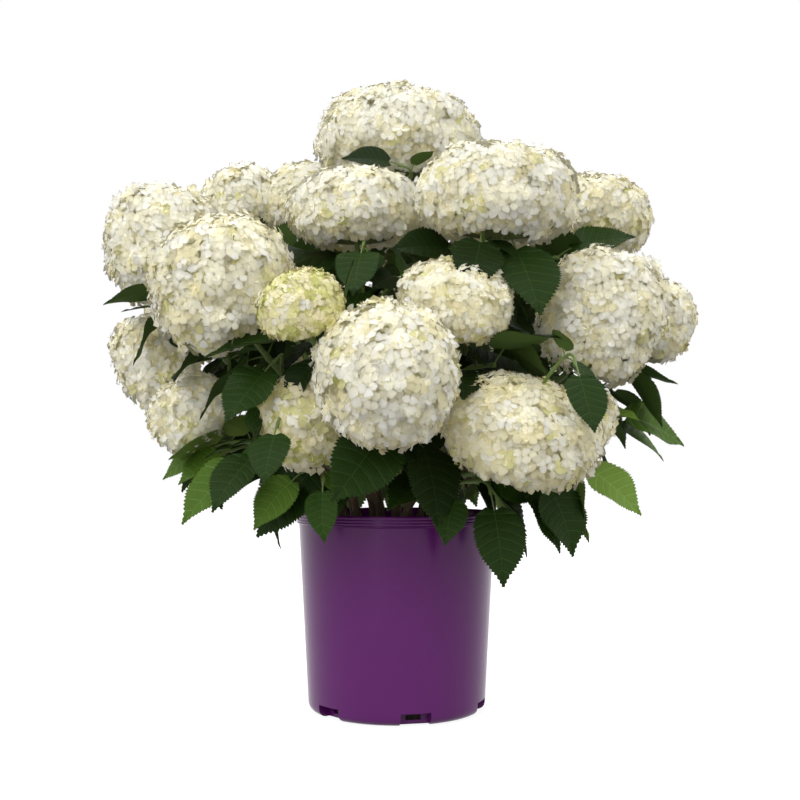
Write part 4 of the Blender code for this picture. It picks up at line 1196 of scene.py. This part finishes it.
def planted(middles, normals, size):
    """Florets on points: each variant turned at random round its normal, after the normal has been tumbled a
    little."""
    count = len(middles)
    normals = unit(normals + floret_draw.normal(0, TUMBLE, (count, 3)) * 0.7)
    spin = floret_draw.uniform(0, 2 * math.pi, count)
    side = unit(np.cross(normals, floret_draw.normal(size=(count, 3))))
    across = np.cos(spin)[:, None] * side + np.sin(spin)[:, None] * np.cross(normals, side)
    axes = np.stack([across, np.cross(normals, across), normals], axis=-1)
    scale = size * floret_draw.uniform(0.8, 1.12, count)
    local = FLORETS[floret_draw.integers(0, VARIANTS, count)] * scale[:, None, None]
    return middles[:, None] + np.einsum("fij,fvj->fvi", axes, local)


# Sepals: thin dry white tissue that scatters light, so it is matt with a faint sheen. Each floret is one
# plain tint, and gives off a little of it: a painted glow that stands for light scattered many times in a
# head.
CREASE = 10 / 7  # seven fine creases to a centimetre
SEPAL_TINTS = {
    "sepal_white": "#dad8cd",
    "sepal_warm_white": "#d6d2bd",
    "sepal_cream": "#d0c9a8",
    "sepal_pale_lime": "#c4c08c",
    "sepal_lime": "#adad69",
}
# Emission_Strength is that painted glow of the sepals' own tint.
TISSUE_AND_GLOW = {
    "IOR": 1.38,
    "Subsurface_Weight": 0.8,
    "Subsurface_Scale": 0.01,
    "Subsurface_Radius": (1.0, 1.0, 0.8),
    "Emission_Strength": 0.05,
}
sepals = []
for name, colour in SEPAL_TINTS.items():
    made, tree, shader, place = finish(name, colour, 0.62, Emission_Color=linear(colour), **TISSUE_AND_GLOW)
    shader.subsurface_method = "BURLEY"
    crease = add(tree, "ShaderNodeTexNoise", {"Scale": repeats(CREASE), "Detail": 2.0}, Vector=place)
    relief = {"Strength": 0.3, "Distance": 0.5 * MM}
    bump = add(tree, "ShaderNodeBump", relief, Height=crease.outputs["Fac"])
    tree.links.new(bump.outputs["Normal"], shader.inputs["Normal"])
    sepals.append(made)

PLAIN = (0.52, 0.33, 0.13, 0.02, 0.00)
CREAMY = (0.16, 0.44, 0.34, 0.06, 0.00)
# The crown's whiter share is painted light from above, and the creamier, greener shares of low_left,
# low_right and front_left are painted shade.
BLOOM_LIGHT_AND_SHADE = {  # how a mass's florets share the five tints, where it isn't PLAIN
    "crown_top": (0.60, 0.30, 0.09, 0.01, 0.00),
    "shoulder_right": (0.30, 0.42, 0.24, 0.04, 0.00),
    "front_young": (0.02, 0.08, 0.34, 0.36, 0.20),
    "low_left": (0.03, 0.25, 0.44, 0.24, 0.04),
    "inner_right": (0.26, 0.42, 0.28, 0.04, 0.00),
    "skirt_right": CREAMY,
    "low_right": CREAMY,
    "front_left": (0.30, 0.42, 0.24, 0.04, 0.00),
}
SIZE = {"front_young": 0.72, "inner_right": 0.85}
GROUPS = {
    "florets_crown": (
        "crown_top",
        "crown_right",
        "shoulder_right",
        "shoulder_left",
        "shoulder_rear_left",
        "front_upper",
    ),
    "florets_front": (
        "front_left",
        "front_young",
        "front_middle",
        "inner_right",
        "low_right",
        "low_left",
        "skirt_right",
    ),
    "florets_sides": ("flank_right", "flank_left", "rear_left", "rear_right"),
    "florets_rear": (
        "rear_top",
        "rear_right_top",
        "rear_left_top",
        "rear_middle",
        "rear_low_left",
        "rear_low_right",
    ),
}
# Each deeper layer steps to greener, darker tints: partly the green of young inner florets and partly painted
# shade between the florets.
LAYERS = ((0.97, 1.0, 0), (0.935, 1.2, 0), (0.9, 1.4, 1))  # share of the radius, spacing, steps greener
LOWEST_FLORET = -0.86
for group, members in GROUPS.items():
    group_points, group_tints = [], []
    for name in members:
        odds = np.array(BLOOM_LIGHT_AND_SHADE.get(name, PLAIN))
        size = SIZE.get(name, 1.0)
        for head in MASSES[name].heads:
            for depth, spacing, green_shade_step in LAYERS:
                middles, normals, height = dome(head, spacing * FLORET_SPACING * size, depth, LOWEST_FLORET)
                group_points.append(planted(middles, normals, SEPAL * size))
                tints = floret_draw.choice(len(sepals), len(middles), p=odds)
                # Florets low on the underside step one tint greener and darker, at odds that grow downwards:
                # partly real green and partly painted shade.
                greener = (floret_draw.uniform(0, 1, len(middles)) < np.clip(-height, 0, 1) * 0.5).astype(int)
                group_tints.append(np.minimum(tints + green_shade_step + greener, len(sepals) - 1))
    points = np.concatenate(group_points)
    faces = FLORET_FACES[None] + FLORETS.shape[1] * np.arange(len(points))[:, None, None]
    which = np.repeat(np.concatenate(group_tints), len(FLORET_FACES))
    florets = piece(group, points, faces, sepals, which)

# Under the florets every head has its rays, thin green stalks that fan out from the stem's tip, and round
# them the thick of the truss, where buds and rays close up: a core a little inside the dome.
CORE_DEPTH = 0.89
CORE_ROWS, CORE_COLUMNS = 12, 20  # of faces
RAY_SPACING = 27


def ray_radius(share, angle):
    """An even taper to half as thick."""
    return 1.2 - 0.6 * share


ray_parts, core_parts = [], []
theta = np.linspace(0, math.pi, CORE_ROWS + 1)[:, None]
phi = np.arange(CORE_COLUMNS) * math.pi / (CORE_COLUMNS / 2)
ball = np.stack([np.sin(theta) * np.cos(phi), np.sin(theta) * np.sin(phi), -np.cos(theta) + 0 * phi], axis=-1)
for name, mass in MASSES.items():
    for head, path in zip(mass.heads, paths[name]):
        core = np.array(head[:3]) + CORE_DEPTH * in_head(head, ball)[0]
        core_parts.append((core.reshape(-1, 3), lattice(CORE_ROWS + 1, CORE_COLUMNS).reshape(-1, 4)))
        start = path[-1] - 0.35 * head.drop * head_axis(head)
        for end in dome(head, RAY_SPACING, 0.9, -0.75)[0]:
            onward = start + 0.5 * np.linalg.norm(end - start) * head_axis(head)
            ray = bezier(start, onward, 0.3 * start + 0.7 * end, end, 6)
            ray_parts.append(tube(ray, 0, lengths_along(ray)[-1], ray_radius, 5, 5))
points, faces = joined(ray_parts)
rays = piece("flower_rays", points, faces, [green_stem])
weld(rays, 70)

# Crowded buds: dull pale olive, with a faint painted glow of their own colour that stands for the light that
# comes through the sepals from all sides. On a head's underside the core is olive green: partly the green of
# its rays and partly painted shade.
BUD_TINT = "#cbc69e"
# These underside rows take the olive green of the rays, which is partly painted shade.
GREEN_SHADE_ROWS = 4  # of a core's faces, counted from its underside
buds = finish("crowded_buds_painted_glow", BUD_TINT, 0.9, Emission_Color=linear(BUD_TINT), Emission_Strength=0.16)[0]
crowded = [buds, finish("crowded_rays_and_shade", "#6f7a42", 0.9)[0]]
points, faces = joined(core_parts)
below = np.arange(CORE_ROWS)[None, :, None] < GREEN_SHADE_ROWS
which = np.broadcast_to(below, (len(core_parts), CORE_ROWS, CORE_COLUMNS))
cores = piece("truss_cores", points, faces, crowded, which.ravel())
weld(cores, 70)

# ------------------------------------------------------------------------------------ floor, light and camera
# A pale seamless floor under a white sky. Both are pure white where they show, and light the plant more
# softly than that: the sky mostly from overhead, and the floor only as much as grey card would.

FLOOR_HALF = 6.0
FLOOR_GLOW = 0.87  # how much it adds where the camera sees it, by itself or in a glossy surface
SKY_LOW, SKY_HIGH = 0.68, 1.42  # the sky's light at the horizon and overhead
floor_mesh = bpy.data.meshes.new("floor")
corners = [(x * FLOOR_HALF, y * FLOOR_HALF, 0) for x, y in ((-1, -1), (1, -1), (1, 1), (-1, 1))]
floor_mesh.from_pydata(corners, [], [(0, 1, 2, 3)])
floor = bpy.data.objects.new("floor", floor_mesh)
bpy.context.scene.collection.objects.link(floor)
card, tree, shader, place = finish("matt_white_floor", "#848484", 0.9)
seen = add(tree, "ShaderNodeLightPath")
shown = add(tree, "ShaderNodeMath", {"operation": "MAXIMUM"})
tree.links.new(seen.outputs["Is Camera Ray"], shown.inputs[0])
tree.links.new(seen.outputs["Is Glossy Ray"], shown.inputs[1])
glow = add(tree, "ShaderNodeMapRange", {"To Max": FLOOR_GLOW}, Value=shown.outputs["Value"])
shader.inputs["Emission Color"].default_value = (1, 1, 1, 1)
tree.links.new(glow.outputs["Result"], shader.inputs["Emission Strength"])
floor_mesh.materials.append(card)

world = bpy.data.worlds.new("studio")
world.use_nodes = True
air = world.node_tree
air.nodes["Background"].inputs["Color"].default_value = (1, 1, 1, 1)
direction = add(air, "ShaderNodeSeparateXYZ", Vector=add(air, "ShaderNodeTexCoord").outputs["Generated"])
ceiling = {"From Min": 0.0, "From Max": 1.0, "To Min": SKY_LOW, "To Max": SKY_HIGH}
sky = add(air, "ShaderNodeMapRange", ceiling, Value=direction.outputs["Z"])
sight = add(air, "ShaderNodeLightPath")
strength = add(
    air,
    "ShaderNodeMix",
    {"data_type": "FLOAT", "B": 1.0},
    Factor=sight.outputs["Is Camera Ray"],
    A=sky.outputs["Result"],
)
air.links.new(strength.outputs["Result"], air.nodes["Background"].inputs["Strength"])
bpy.context.scene.world = world
bpy.context.scene.view_settings.view_transform = "Standard"


def soft_light(name, place, aim, width, height, power):
    """An area light of a width and height, at a place, turned so that it shines at aim."""
    lamp = bpy.data.lights.new(name, "AREA")
    lamp.shape, lamp.size, lamp.size_y, lamp.energy = "RECTANGLE", width, height, power
    made = bpy.data.objects.new(name, lamp)
    made.location = place
    made.rotation_euler = (Vector(aim) - Vector(place)).to_track_quat("-Z", "Y").to_euler()
    bpy.context.scene.collection.objects.link(made)


# A key light high at the front left, a weak fill at the front right, one over the back, and a strip low at
# the front left, which draws the gloss down the pot's side. Their powers are in watts.
soft_light("key_light", (-1.5, -2.3, 2.2), (0, 0, 0.5), 2.4, 2.4, 31)
soft_light("fill_light", (1.6, -1.8, 2.2), (0, 0, 0.5), 2.0, 2.0, 4)
soft_light("back_light", (0.3, 1.5, 3.0), (0, 0, 0.5), 2.2, 2.2, 26)
soft_light("strip_light", (-1.05, -2.5, 0.6), (0, 0, 0.2), 0.5, 1.4, 6)

CAMERA_PLACE = (0.004, -1.39, 0.304)
CAMERA_TILT = math.radians(3.09)  # upwards
camera_data = bpy.data.cameras.new("camera")
camera_data.lens = 50.0
camera_data.sensor_width = 36.0
camera = bpy.data.objects.new("camera", camera_data)
camera.location = CAMERA_PLACE
camera.rotation_euler = (math.pi / 2 + CAMERA_TILT, 0, 0)
bpy.context.scene.collection.objects.link(camera)
bpy.context.scene.camera = camera
